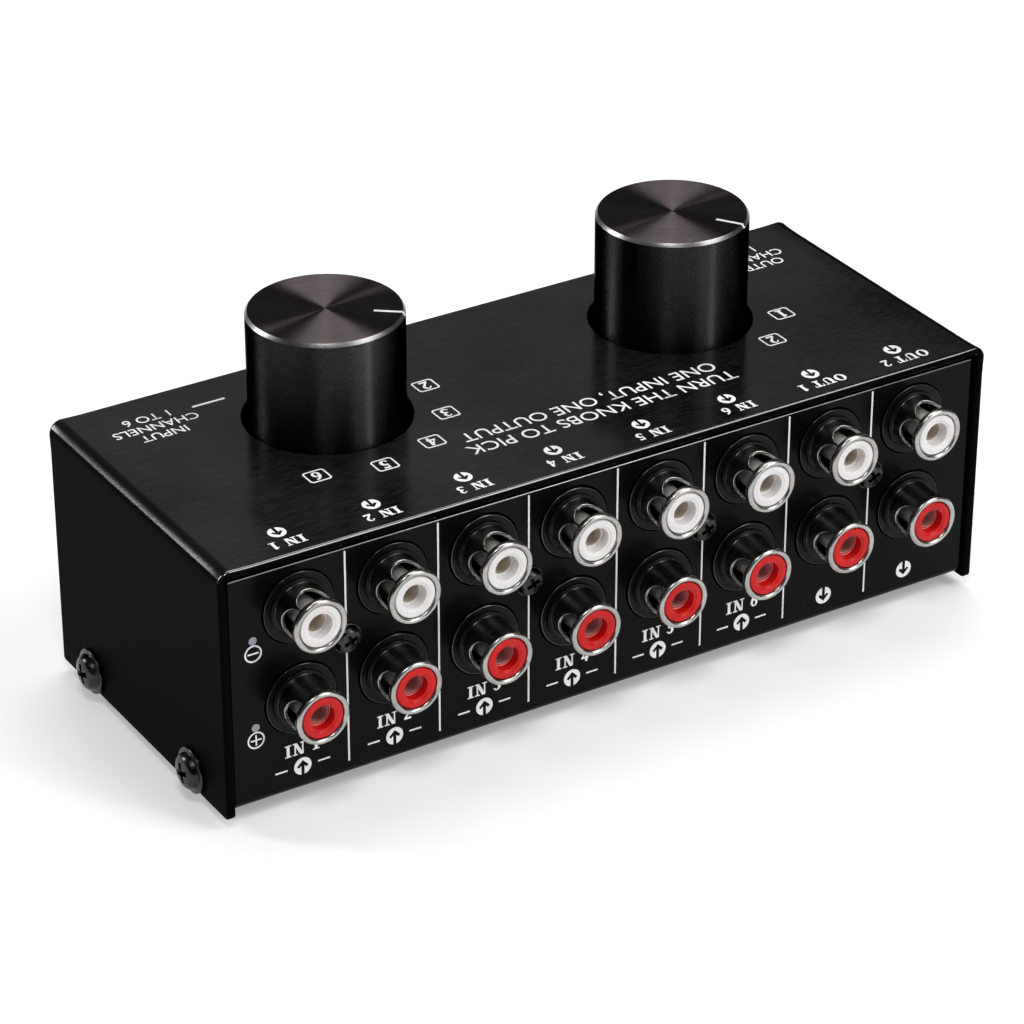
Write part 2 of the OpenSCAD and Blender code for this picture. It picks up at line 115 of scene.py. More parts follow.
def lightStudio():
    bm = bmesh.new()
    bmesh.ops.create_grid(bm, x_segments=1, y_segments=1, size=studio["floorSize"] / 2)
    mesh = bpy.data.meshes.new("paleFloor")
    bm.to_mesh(mesh)
    bm.free()
    floor = bpy.data.objects.new("paleFloor", mesh)
    scene.collection.objects.link(floor)

    # a pale matt floor, lifted to white for the eye and for reflections only
    material = bpy.data.materials.new("paleFloorPaint")
    material.use_nodes = True
    tree = material.node_tree
    tree.nodes.clear()
    rays = addNode(tree, "ShaderNodeLightPath").outputs
    direct = addNode(tree, "ShaderNodeMath", {0: rays["Is Camera Ray"], 1: rays["Is Glossy Ray"]},
                     operation="MAXIMUM")
    seen = addNode(tree, "ShaderNodeMath", {0: direct.outputs[0], 1: rays["Is Transmission Ray"]},
                   operation="MAXIMUM")
    lift = addNode(tree, "ShaderNodeMath", {0: seen.outputs[0], 1: studio["floorLift"]},
                   operation="MULTIPLY")
    matt = addNode(tree, "ShaderNodeBsdfDiffuse", {"Color": linear(studio["floorColour"])})
    glow = addNode(tree, "ShaderNodeEmission", {"Strength": lift.outputs[0]})
    both = addNode(tree, "ShaderNodeAddShader", {0: matt.outputs[0], 1: glow.outputs[0]})
    addNode(tree, "ShaderNodeOutputMaterial", {"Surface": both.outputs[0]})
    mesh.materials.append(material)

    world = bpy.data.worlds.new("studioWorld")
    world.use_nodes = True
    world.node_tree.nodes["Background"].inputs["Color"].default_value = linear(studio["worldColour"])
    world.node_tree.nodes["Background"].inputs["Strength"].default_value = studio["worldStrength"]
    scene.world = world

    for name, box in studio["boxes"].items():
        lamp = bpy.data.lights.new(name, "AREA")
        lamp.shape = "RECTANGLE"
        lamp.size, lamp.size_y = box["size"]
        lamp.energy = box["power"]
        holder = bpy.data.objects.new(name, lamp)
        holder.location = box["place"]
        holder.visible_camera = False
        holder.rotation_euler = Vector(box["place"]).to_track_quat("Z", "Y").to_euler()
        scene.collection.objects.link(holder)


scene.view_settings.view_transform = "Standard"
setCamera()
lightStudio()
print("camera, floor and lights set")


# Finishes: each has a grain that breaks up the gloss and broad clouds that shift the tone,
# both in millimetres
noiseRange = (0.36, 0.64)  # nearly all of the mixed noise lies in this


def makeFinish(name, look):
    material = bpy.data.materials.new(name)
    material.use_nodes = True
    tree = material.node_tree
    shader = tree.nodes["Principled BSDF"]
    place = addNode(tree, "ShaderNodeTexCoord").outputs["Object"]
    stretched = addNode(tree, "ShaderNodeMapping",
                        {"Vector": place, "Scale": [perMetre / size for size in look["grain"]]})
    grain = addNode(tree, "ShaderNodeTexNoise",
                    {"Vector": stretched.outputs[0], "Scale": 1.0, "Detail": 3.0, "Roughness": 0.55})
    clouds = addNode(tree, "ShaderNodeTexNoise",
                     {"Vector": place, "Scale": perMetre / look["cloud"], "Detail": 2.0})
    blend = addNode(tree, "ShaderNodeMath", {0: grain.outputs["Fac"], 1: clouds.outputs["Fac"]},
                    operation="ADD")
    half = addNode(tree, "ShaderNodeMath", {0: blend.outputs[0], 1: 0.5}, operation="MULTIPLY")
    tone = addNode(tree, "ShaderNodeValToRGB", {"Fac": half.outputs[0]})
    for stop, position, colour in zip(tone.color_ramp.elements, noiseRange, look["colours"]):
        stop.position = position
        stop.color = linear(colour)
    tree.links.new(tone.outputs["Color"], shader.inputs["Base Color"])
    gloss = addNode(tree, "ShaderNodeMapRange",
                    {"Value": half.outputs[0], "From Min": noiseRange[0], "From Max": noiseRange[1],
                     "To Min": look["roughness"][0], "To Max": look["roughness"][1]})
    tree.links.new(gloss.outputs[0], shader.inputs["Roughness"])
    if look.get("relief"):
        bump = addNode(tree, "ShaderNodeBump",
                       {"Strength": 1.0, "Distance": look["relief"] / perMetre,
                        "Height": grain.outputs["Fac"]})
        tree.links.new(bump.outputs[0], shader.inputs["Normal"])
    if look.get("tangent"):
        along = addNode(tree, "ShaderNodeTangent", direction_type="UV_MAP", uv_map=look["tangent"])
        tree.links.new(along.outputs[0], shader.inputs["Tangent"])
    for socket, value in look.get("shader", {}).items():
        shader.inputs[socket].default_value = value
    material.diffuse_color = linear(look["colours"][1])
    return material


finishes = {
    # fine lines brushed along the case, under a thin black coat: grey where the backdrop shows in it;
    # the lines are drawn coarser than the real ones so that they show
    "brushedBlackAluminium": {
        "colours": ("#000000", "#222224"), "grain": (2.2, 0.28, 0.28), "cloud": 30, "roughness": (0.15, 0.22),
        "relief": 0.012, "shader": {"IOR": 1.66}},
    # sprayed satin black enamel on the sides: near black, with a very slight orange peel
    "satinBlackEnamel": {
        "colours": ("#070708", "#0b0b0b"), "grain": (0.7, 0.7, 0.7), "cloud": 25, "roughness": (0.3, 0.4),
        "relief": 0.003, "shader": {"Specular IOR Level": 0.004}},
    # the enamel polished by handling on one fold: glossier, so a lamp runs along it as a speckled band
    "foldedBlackEnamel": {
        "colours": ("#070708", "#0b0b0b"), "grain": (0.3, 0.3, 0.3), "cloud": 12, "roughness": (0.18, 0.25),
        "relief": 0.014, "shader": {"Specular IOR Level": 0.6}},
    # painted highlight: grey metal on the sheets' rounded edges, so that they show as thin bright lines that
    # outline each sheet, as highlights along black enamel would
    "paintedEdgeHighlight": {
        "colours": ("#5a5a5c", "#6c6c6d"), "grain": (0.8, 0.8, 0.8), "cloud": 12, "roughness": (0.13, 0.19),
        "shader": {"Metallic": 1.0}},
    # the same enamel on the chassis, a little glossier, so the jacks' rims glow in it
    "panelBlackEnamel": {
        "colours": ("#050506", "#090909"), "grain": (0.6, 0.6, 0.6), "cloud": 25, "roughness": (0.2, 0.28),
        "relief": 0.002, "shader": {"Specular IOR Level": 0.07}},
    # bright nickel plate on turned brass: pale rims that shade to dark where they roll away
    "brightNickel": {
        "colours": ("#9c9a97", "#b6b4b1"), "grain": (0.8, 0.8, 0.8), "cloud": 6, "roughness": (0.2, 0.3),
        "shader": {"Metallic": 1.0}},
    # turned nickel on the barrels, its colour painted dark as a painted reflection of dark surroundings: fine
    # rings draw each lamp out along the barrel, dark between the streaks
    "turnedNickel": {
        "colours": ("#4a4947", "#5e5d5a"), "grain": (3.0, 0.25, 3.0), "cloud": 5, "roughness": (0.24, 0.32),
        "tangent": "spun", "shader": {"Metallic": 1.0, "Anisotropic": 0.8}},
    # frosted tin on the spring sleeve down the pin hole: its beige is painted light, the colour of the light
    # bounced off the plastic round it
    "frostedTin": {
        "colours": ("#d2c8b8", "#e4dccf"), "grain": (0.3, 0.3, 0.3), "cloud": 3, "roughness": (0.6, 0.75),
        "shader": {"Metallic": 0.5}},
    # the same sleeve behind red plastic: its pink is painted light, the tint of the light that comes through
    # the plastic
    "redLitTin": {
        "colours": ("#c79a98", "#dab4b2"), "grain": (0.3, 0.3, 0.3), "cloud": 3, "roughness": (0.6, 0.75),
        "shader": {"Metallic": 0.5}},
    # cast zinc sleeve under the slots: bright where it faces the light above, dark on its side
    "castZinc": {
        "colours": ("#cfcdc7", "#e2e0da"), "grain": (0.4, 0.4, 0.4), "cloud": 4, "roughness": (0.5, 0.62),
        "shader": {"Metallic": 0.85}},
    # moulded white ABS: even, faintly warm, light soaks into the pin hole
    "whiteAbs": {
        "colours": ("#dcd9d9", "#e8e5e5"), "grain": (0.5, 0.5, 0.5), "cloud": 4, "roughness": (0.28, 0.36),
        "relief": 0.002, "shader": {"Subsurface Weight": 0.25, "Subsurface Scale": 0.0012}},
    # moulded red ABS: saturated, with small sharp highlights on the lip
    "redAbs": {
        "colours": ("#b80f0c", "#cc1712"), "grain": (0.5, 0.5, 0.5), "cloud": 4, "roughness": (0.18, 0.26),
        "relief": 0.002,
        "shader": {"Subsurface Weight": 0.1, "Subsurface Scale": 0.0008, "Specular IOR Level": 0.22}},
    # moulded black ABS of the jack blocks: deep black, semi-gloss ring edges
    "blackAbs": {
        "colours": ("#060606", "#0c0c0c"), "grain": (0.4, 0.4, 0.4), "cloud": 8, "roughness": (0.22, 0.32),
        "relief": 0.002, "shader": {"Specular IOR Level": 0.12}},
    # the same moulding's polished edges: thin soft arcs on the rings
    "polishedBlackAbs": {
        "colours": ("#060606", "#0c0c0c"), "grain": (0.4, 0.4, 0.4), "cloud": 8, "roughness": (0.16, 0.24),
        "shader": {"Specular IOR Level": 0.9}},
    # black oxide on steel screws: black with hard small highlights
    "blackOxideSteel": {
        "colours": ("#2c2c2d", "#474646"), "grain": (0.3, 0.3, 0.3), "cloud": 2, "roughness": (0.17, 0.3),
        "relief": 0.004, "shader": {"Metallic": 1.0}},
    # moulded rubber: dull dark grey that hardly mirrors anything
    "blackRubber": {
        "colours": ("#141414", "#1e1e1e"), "grain": (0.3, 0.3, 0.3), "cloud": 4, "roughness": (0.7, 0.85),
        "relief": 0.01, "shader": {"Specular IOR Level": 0.25}},
    # screen-printed white ink: dead white with a faint tooth
    "whiteScreenInk": {
        "colours": ("#ededed", "#fbfbfb"), "grain": (0.12, 0.12, 0.12), "cloud": 3, "roughness": (0.5, 0.65)},
    # the same ink in a pale violet grey for the channel dots
    "greyScreenInk": {
        "colours": ("#8f8d9c", "#a5a2b0"), "grain": (0.12, 0.12, 0.12), "cloud": 3, "roughness": (0.5, 0.65)},
    # turned and blasted side of the knob, anodised black: fine sparkle in a soft upright highlight;
    # the grit is drawn coarser than the real one so that it shows
    "blastedBlackAnodising": {
        "colours": ("#1a1a1a", "#404040"), "grain": (0.34, 0.34, 0.2), "cloud": 40, "roughness": (0.27, 0.33),
        "relief": 0.009, "tangent": "spun",
        "shader": {"Metallic": 1.0, "Anisotropic": 0.98, "Specular Tint": (0.05, 0.05, 0.05, 1)}},
    # diamond-cut bevel: bare aluminium, a thin bright ring round the top
    "diamondCutAluminium": {
        "colours": ("#7f7e80", "#979699"), "grain": (0.6, 0.6, 0.1), "cloud": 4, "roughness": (0.26, 0.36),
        "shader": {"Metallic": 1.0}},
    # white enamel wiped into the pointer's groove: a crisp pale line
    "whiteGrooveEnamel": {
        "colours": ("#dfdedd", "#f4f3f2"), "grain": (0.2, 0.2, 0.2), "cloud": 2, "roughness": (0.35, 0.5)},
    # glass-epoxy board under green mask: faint weave
    "greenLaminate": {
        "colours": ("#0f3a22", "#1b5a35"), "grain": (0.6, 0.6, 0.6), "cloud": 8, "roughness": (0.35, 0.5),
        "relief": 0.004},
    # turned brass: warm, with fine rings
    "turnedBrass": {
        "colours": ("#a8843c", "#c9a85a"), "grain": (2.0, 2.0, 0.12), "cloud": 4, "roughness": (0.25, 0.4),
        "shader": {"Metallic": 1.0}},
    # zinc-plated steel: cool grey, slightly cloudy
    "zincSteel": {
        "colours": ("#9aa0a6", "#bfc3c8"), "grain": (1.5, 1.5, 1.5), "cloud": 5, "roughness": (0.3, 0.45),
        "shader": {"Metallic": 1.0}},
    # tinned terminals: pale and soft
    "tinnedCopper": {
        "colours": ("#b3b3ae", "#d0d0cb"), "grain": (0.5, 0.5, 1.2), "cloud": 3, "roughness": (0.3, 0.5),
        "shader": {"Metallic": 1.0}},
    # phenolic resin: dark brown, faintly mottled
    "brownPhenolic": {
        "colours": ("#2b1d13", "#43301f"), "grain": (0.8, 0.8, 0.8), "cloud": 5, "roughness": (0.4, 0.55)},
    # nylon rotor: milky
    "milkyNylon": {
        "colours": ("#cfcabb", "#e2ded2"), "grain": (0.6, 0.6, 0.6), "cloud": 4, "roughness": (0.4, 0.55)},
    # drawn aluminium shaft: fine lines along its length
    "drawnAluminium": {
        "colours": ("#9c9da0", "#c4c5c8"), "grain": (0.15, 0.15, 6.0), "cloud": 5, "roughness": (0.25, 0.4),
        "shader": {"Metallic": 1.0}},
}
finish = {name: makeFinish(name, look) for name, look in finishes.items()}

spunTop = {
    "colours": ("#453e3e", "#5f5757"),
    "ringPitch": 0.16,  # millimetres, drawn coarser than the real cut so that it shows
    "ringRange": (0.3, 0.7),  # part of the noise that goes from the one colour to the other
    "groovePitch": 0.04,
    "grooveSlope": 0.35,  # lean of each groove's two walls
    "grooveTurn": (0.46, 0.54),  # part of the noise that goes from the one wall to the other
    "roughness": 0.3,
    "anisotropy": 0.98,
}


def makeSpunTop():
    # spun-cut end of the knob under black anodising: rings that spread light into a bow tie
    material = bpy.data.materials.new("spunBlackAnodising")
    material.use_nodes = True
    tree = material.node_tree
    shader = tree.nodes["Principled BSDF"]
    uv = addNode(tree, "ShaderNodeUVMap", uv_map="spun")
    split = addNode(tree, "ShaderNodeSeparateXYZ", {"Vector": uv.outputs[0]})
    rings = addNode(tree, "ShaderNodeTexNoise",
                    {"W": split.outputs["X"], "Scale": perMetre / spunTop["ringPitch"], "Detail": 2.0},
                    noise_dimensions="1D")
    tone = addNode(tree, "ShaderNodeValToRGB", {"Fac": rings.outputs["Fac"]})
    for stop, position, colour in zip(tone.color_ramp.elements, spunTop["ringRange"], spunTop["colours"]):
        stop.position = position
        stop.color = linear(colour)
    radial = addNode(tree, "ShaderNodeTangent", direction_type="UV_MAP", uv_map="spun")
    grooves = addNode(tree, "ShaderNodeTexNoise",
                      {"W": split.outputs["X"], "Scale": perMetre / spunTop["groovePitch"], "Detail": 0.0},
                      noise_dimensions="1D")
    turnStart, turnEnd = spunTop["grooveTurn"]
    lean = addNode(tree, "ShaderNodeMapRange",
                   {"Value": grooves.outputs["Fac"], "From Min": turnStart, "From Max": turnEnd,
                    "To Min": -spunTop["grooveSlope"], "To Max": spunTop["grooveSlope"]})
    wall = addNode(tree, "ShaderNodeVectorMath", {0: radial.outputs[0], "Scale": lean.outputs[0]},
                   operation="SCALE")
    flat = addNode(tree, "ShaderNodeNewGeometry")
    leaning = addNode(tree, "ShaderNodeVectorMath", {0: flat.outputs["Normal"], 1: wall.outputs[0]},
                      operation="ADD")
    groove = addNode(tree, "ShaderNodeVectorMath", {0: leaning.outputs[0]}, operation="NORMALIZE")
    tree.links.new(tone.outputs["Color"], shader.inputs["Base Color"])
    tree.links.new(groove.outputs[0], shader.inputs["Normal"])
    tree.links.new(radial.outputs[0], shader.inputs["Tangent"])
    shader.inputs["Metallic"].default_value = 1.0
    shader.inputs["Roughness"].default_value = spunTop["roughness"]
    shader.inputs["Anisotropic"].default_value = spunTop["anisotropy"]
    return material


finish["spunBlackAnodising"] = makeSpunTop()
print("finishes made:", len(finish))


# Mesh helpers
def filleted(corners, steps=5, closed=False):
    # corners are (x, y, radius); a corner with a radius becomes a true arc
    points = []
    last = len(corners) - 1
    for i, (x, y, radius) in enumerate(corners):
        corner = Vector((x, y))
        if radius <= 0 or (not closed and i in (0, last)):
            points.append(corner)
            continue
        before = Vector(corners[i - 1][:2]) - corner
        after = Vector(corners[(i + 1) % len(corners)][:2]) - corner
        halfAngle = before.angle(after) / 2
        reach = min(radius / math.tan(halfAngle), before.length * 0.5, after.length * 0.5)
        start, end = corner + before.normalized() * reach, corner + after.normalized() * reach
        weight = math.sin(halfAngle)
        for k in range(steps + 1):
            t = k / steps
            a, b, c = (1 - t) ** 2, 2 * weight * t * (1 - t), t ** 2
            points.append((start * a + corner * b + end * c) / (a + b + c))
    return points


def lathe(bm, profile, segments, closed=False, place=Matrix.Identity(4)):
    # profile is (radius, height) points; a point on the axis becomes a single pole
    rings = []
    for radius, height in profile:
        turns = 1 if radius < 1e-6 else segments
        rings.append([
            bm.verts.new(place @ Vector((radius * math.cos(2 * math.pi * k / segments),
                                         radius * math.sin(2 * math.pi * k / segments), height)))
            for k in range(turns)])
    faces = []
    for lower, upper in zip(rings, rings[1:] + (rings[:1] if closed else [])):
        for k in range(segments):
            corners = [lower[k % len(lower)], lower[(k + 1) % len(lower)],
                       upper[(k + 1) % len(upper)], upper[k % len(upper)]]
            corners = list(dict.fromkeys(corners))
            if len(corners) > 2:
                faces.append(bm.faces.new(corners))
    return faces


def prism(bm, outline, low, high, place=Matrix.Identity(4)):
    rings = [[bm.verts.new(place @ Vector((x, y, height))) for x, y in outline] for height in (low, high)]
    count = len(outline)
    faces = [bm.faces.new(rings[0][::-1]), bm.faces.new(rings[1])]
    for k in range(count):
        faces.append(bm.faces.new((rings[0][k], rings[0][(k + 1) % count],
                                   rings[1][(k + 1) % count], rings[1][k])))
    return faces


def circle(radius, segments, centre=(0, 0), start=0, end=360):
    full = end - start >= 360
    spots = segments if full else segments + 1
    return [(centre[0] + radius * math.cos(math.radians(start + (end - start) * k / segments)),
             centre[1] + radius * math.sin(math.radians(start + (end - start) * k / segments)))
            for k in range(spots)]


def toMesh(bm, name, smoothAngle=creaseAngle):
    bmesh.ops.recalc_face_normals(bm, faces=bm.faces)
    bm.transform(Matrix.Scale(1 / perMetre, 4))
    mesh = bpy.data.meshes.new(name)
    bm.to_mesh(mesh)
    bm.free()
    mesh.shade_smooth()
    mesh.set_sharp_from_angle(angle=math.radians(smoothAngle))
    return mesh


def evaluated(mesh, addModifiers):
    holder = bpy.data.objects.new("holder", mesh)
    scene.collection.objects.link(holder)
    addModifiers(holder)
    result = bpy.data.meshes.new_from_object(holder.evaluated_get(bpy.context.evaluated_depsgraph_get()))
    bpy.data.objects.remove(holder)
    return result


def softened(mesh, width, segments=2, angle=38, material=-1, clamp=True):
    def bevel(holder):
        soft = holder.modifiers.new("softEdges", "BEVEL")
        soft.limit_method = "ANGLE"
        soft.angle_limit = math.radians(angle)
        soft.width = width / perMetre
        soft.segments = segments
        soft.harden_normals = True
        soft.material = material
        soft.use_clamp_overlap = clamp
    return evaluated(mesh, bevel)


def carved(mesh, cutter):
    tool = bpy.data.objects.new("cutter", cutter)
    scene.collection.objects.link(tool)

    def cut(holder):
        difference = holder.modifiers.new("cut", "BOOLEAN")
        difference.operation = "DIFFERENCE"
        difference.solver = "EXACT"
        difference.object = tool
    result = evaluated(mesh, cut)
    bpy.data.objects.remove(tool)
    result.shade_smooth()
    result.set_sharp_from_angle(angle=math.radians(creaseAngle))
    return result


def paint(mesh, *names):
    for name in names:
        mesh.materials.append(finish[name])


def addPiece(name, mesh, body, stands=()):
    piece = bpy.data.objects.new(name, mesh)
    mesh.name = name
    scene.collection.objects.link(piece)
    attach(piece, body)
    if stands:
        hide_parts(*stands)
    return piece


# Even rows: the holder's own mesh is the shape, repeated along one or two directions
rowInputs = {
    "Shape": "NodeSocketGeometry",
    "Count": "NodeSocketInt",
    "Step": "NodeSocketVector",
    "Rows": "NodeSocketInt",
    "Row Step": "NodeSocketVector",
    "Main Finish": "NodeSocketMaterial",
    "Trim Finish": "NodeSocketMaterial",
    "Base Finish": "NodeSocketMaterial",
}
rowTree = bpy.data.node_groups.new("evenRows", "GeometryNodeTree")
rowSocket = {name: rowTree.interface.new_socket(name, in_out="INPUT", socket_type=kind).identifier
             for name, kind in rowInputs.items()}
rowTree.interface.new_socket("Rows Of Shapes", in_out="OUTPUT", socket_type="NodeSocketGeometry")


def buildRowTree():
    given = addNode(rowTree, "NodeGroupInput").outputs
    line = addNode(rowTree, "GeometryNodeMeshLine", {"Count": given["Count"], "Offset": given["Step"]})
    copies = addNode(rowTree, "GeometryNodeInstanceOnPoints",
                     {"Points": line.outputs[0], "Instance": given["Shape"]})
    rowLine = addNode(rowTree, "GeometryNodeMeshLine", {"Count": given["Rows"], "Offset": given["Row Step"]})
    rows = addNode(rowTree, "GeometryNodeInstanceOnPoints",
                   {"Points": rowLine.outputs[0], "Instance": copies.outputs[0]})
    real = addNode(rowTree, "GeometryNodeRealizeInstances", {"Geometry": rows.outputs[0]})
    done = addNode(rowTree, "GeometryNodeSetMaterial",
                   {"Geometry": real.outputs[0], "Material": given["Main Finish"]})
    for part in ("Trim", "Base"):
        chosen = addNode(rowTree, "GeometryNodeInputNamedAttribute", {"Name": part}, data_type="BOOLEAN")
        done = addNode(rowTree, "GeometryNodeSetMaterial",
                       {"Geometry": done.outputs[0], "Selection": chosen.outputs["Attribute"],
                        "Material": given[f"{part} Finish"]})
    addNode(rowTree, "NodeGroupOutput", {0: done.outputs[0]})


buildRowTree()


def inRows(mesh, looks, count, step, rows=1, rowStep=(0, 0, 0)):
    # looks are the main finish, then the ones for faces marked 1 (trim) and 2 (base)
    looks = [finish[name] for name in [*looks, looks[0], looks[0]][:3]]
    for index, part in enumerate(("Trim", "Base"), 1):
        layer = mesh.attributes.new(part, "BOOLEAN", "FACE")
        layer.data.foreach_set("value", [face.material_index == index for face in mesh.polygons])

    values = {
        "Count": count, "Step": [s / perMetre for s in step],
        "Rows": rows, "Row Step": [s / perMetre for s in rowStep],
        "Main Finish": looks[0], "Trim Finish": looks[1], "Base Finish": looks[2]}

    def repeat(holder):
        modifier = holder.modifiers.new("evenRows", "NODES")
        modifier.node_group = rowTree
        for name, value in values.items():
            modifier[rowSocket[name]] = value
    result = evaluated(mesh, repeat)
    for part in ("Trim", "Base"):
        result.attributes.remove(result.attributes[part])
    return result


# Places that the frame gives
sources = ["in_1", "in_2", "in_3", "in_4", "in_5", "in_6", "out_1", "out_2"]
colours = ["white", "red"]
coverLow, coverHigh = nodeBox("top_cover")
chassisLow, chassisHigh = nodeBox("chassis")
insertBox = {(s, c): nodeBox(f"jack_insert_{s}_{c}") for s in sources for c in colours}
columnX = [sum(insertBox[s, "white"], Vector()).x / 2 for s in sources]
rowZ = {c: sum(insertBox["in_1", c], Vector()).z / 2 for c in colours}
jackPitch = columnX[1] - columnX[0]
panelY = chassisLow.y
facingOut = Matrix.Rotation(math.radians(90), 4, "X")  # local up becomes the way the jacks point
controls = {}
for control in ("input", "output"):
    low, high = nodeBox(f"{control}_knob")
    controls[control] = {"x": (low.x + high.x) / 2, "y": (low.y + high.y) / 2, "radius": (high.x - low.x) / 2,
                         "baseZ": low.z, "topZ": high.z}

# Cover: one folded sheet with two knob holes
cover = {
    "thickness": 1.5,
    "bendRadius": 2.2,
    "bendFlat": 3.0,  # flat strip on both sides of each bend
    "shelf": 6.0,  # flat strip above the sides' lower edges
    "lowerEdge": 0.3,  # radius along the sides' lower edges
    "cornerRadius": 1.0,  # lower corners of the sides
    "edgeRound": 0.55,  # front and back edges of the sheet
    "stations": (0.78, 1.0, 1.8, 3.0, 5.0),  # further cuts across the sheet, from each end
    "holeSoftness": 0.3,
    "bulge": 0.32,  # sheet pushed out at the ends of each bend
    "bulgeReach": 1.6,  # along the case
    "bulgeWidth": 3.4,  # round the bend
    "knobGap": 0.9,
    "screwHole": 2.0,
    "edgeHighlightShare": (0.09, 0.98),  # part of the rounded edge that gets the painted highlight
    "edgeHighlightDepth": 1.2,
    "shinyLean": 0.42,  # the left fold is glossy where it leans up at least this far
}


def coverSection(inset):
    # the folded sheet cut across the case, thinned from both faces by the inset
    t, bend = cover["thickness"] - 2 * inset, cover["bendRadius"] - inset
    flat, tip = cover["bendFlat"], cover["lowerEdge"]
    left, right, low, high = coverLow.x + inset, coverHigh.x - inset, coverLow.z + inset, coverHigh.z - inset
    shelf, knee = coverLow.z + cover["shelf"], high - bend - flat
    return filleted([
        (left, low, tip), (left, shelf, 0), (left, knee, 0), (left, high, bend),
        (left + bend + flat, high, 0), (right - bend - flat, high, 0), (right, high, bend),
        (right, knee, 0), (right, shelf, 0), (right, low, tip),
        (right - t, low, tip), (right - t, shelf, 0), (right - t, knee, 0), (right - t, high - t, bend - t),
        (right - bend - flat, high - t, 0), (left + bend + flat, high - t, 0), (left + t, high - t, bend - t),
        (left + t, knee, 0), (left + t, shelf, 0), (left + t, low, tip)], steps=9, closed=True)


def makeCover():
    t, bend, corner, soft = cover["thickness"], cover["bendRadius"], cover["cornerRadius"], cover["edgeRound"]
    left, right, low, high = coverLow.x, coverHigh.x, coverLow.z, coverHigh.z
    turns = [math.radians(90 - 15 * k) for k in range(7)]
    ends = [(soft * (1 - math.sin(a)), soft * (1 - math.cos(a))) for a in turns]
    ends += [(reach, 0) for reach in cover["stations"]]
    stations = [(coverLow.y + reach, reach, inset) for reach, inset in ends]
    stations += [(coverHigh.y - reach, reach, inset) for reach, inset in reversed(ends)]
    bm = bmesh.new()
    rings = []
    for y, reach, inset in stations:
        lift = corner - math.sqrt(corner ** 2 - max(corner - reach, 0) ** 2)
        ring = []
        for x, z in coverSection(inset):
            if z < low + inset + 0.4:
                z += lift
            side = -1 if x < 0 else 1
            toBend = math.hypot(x - side * (right - bend), z - (high - bend))
            fade = math.exp(-reach / cover["bulgeReach"]) * math.exp(-(toBend / cover["bulgeWidth"]) ** 4)
            push = cover["bulge"] * fade
            ring.append(bm.verts.new((x + side * push * 0.7, y, z + push * 0.7)))
        rings.append(ring)
    count = len(rings[0])
    for near, far in zip(rings, rings[1:]):
        for k in range(count):
            bm.faces.new((near[k], near[(k + 1) % count], far[(k + 1) % count], far[k]))
    bm.faces.new(rings[0])
    bm.faces.new(rings[-1])
    mesh = toMesh(bm, "coverSheet")

    cutters = bmesh.new()
    for knob in controls.values():
        hole = circle(knob["radius"] + cover["knobGap"], 128, (knob["x"], knob["y"]))
        prism(cutters, hole, high - 2 * t, high + t)
    screwLow, screwHigh = nodeBox("cover_screws")
    head = (screwHigh.z - screwLow.z) / 2
    for y in (screwLow.y + head, screwHigh.y - head):
        along = Matrix.Translation((0, y, screwLow.z + head)) @ Matrix.Rotation(math.radians(90), 4, "Y")
        for side in (left, right):
            prism(cutters, circle(cover["screwHole"], 32), side - 3, side + 3, along)
    mesh = carved(mesh, toMesh(cutters, "coverCutters"))
    paint(mesh, "brushedBlackAluminium", "satinBlackEnamel", "paintedEdgeHighlight", "foldedBlackEnamel")
    highlightFrom, highlightTo = cover["edgeHighlightShare"]
    for face in mesh.polygons:
        x, y, z = face.center * perMetre
        fromEnd = min(y - coverLow.y, coverHigh.y - y)
        # the front and back edges, down to this depth, get the painted edge highlight
        if soft * highlightFrom < fromEnd < soft * highlightTo and z > high - cover["edgeHighlightDepth"]:
            face.material_index = 2
        elif face.normal.z > 0.97 and z > high - 0.06 and abs(x) < right - bend + 0.1:
            face.material_index = 0
        elif face.normal.z > cover["shinyLean"] and face.normal.x < -0.03 and z > high - bend - 0.2:
            face.material_index = 3
        else:
            face.material_index = 1
    # edges eased here, round the knob and screw holes, get the painted edge highlight as well
    mesh = softened(mesh, cover["holeSoftness"], segments=3, material=2)
    addPiece("coverSheet", mesh, "housing", ["top_cover"])


makeCover()
print("cover made")


# A copy of a CAD solid with its edges eased
def easedCopy(node, name, width, segments, looks, reshape=None, clamp=True, edgeAbove=-math.inf):
    # looks are the finish, then the one for the eased edges above a height
    bm = bmesh.new()
    bm.from_mesh(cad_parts[node].data)
    if reshape:
        for vert in bm.verts:
            vert.co = reshape(vert.co * perMetre) / perMetre
    # loose triangles are merged, and flat faces joined, so that only true edges are eased
    bmesh.ops.remove_doubles(bm, verts=bm.verts, dist=2e-6)
    bmesh.ops.dissolve_limit(bm, angle_limit=math.radians(0.4), verts=bm.verts, edges=bm.edges)
    mesh = bpy.data.meshes.new(name)
    bm.to_mesh(mesh)
    bm.free()
    mesh.shade_smooth()
    mesh.set_sharp_from_angle(angle=math.radians(creaseAngle))
    paint(mesh, *looks)
    mesh = softened(mesh, width, segments, material=1, clamp=clamp)
    for face in mesh.polygons:
        if face.center.z * perMetre < edgeAbove:
            face.material_index = 0
    return addPiece(name, mesh, "housing", [node])


chassis = {
    "edgeSoftness": 0.22,
    "edgeHighlightDepth": 0.4,  # edges this near the top get the painted edge highlight
}
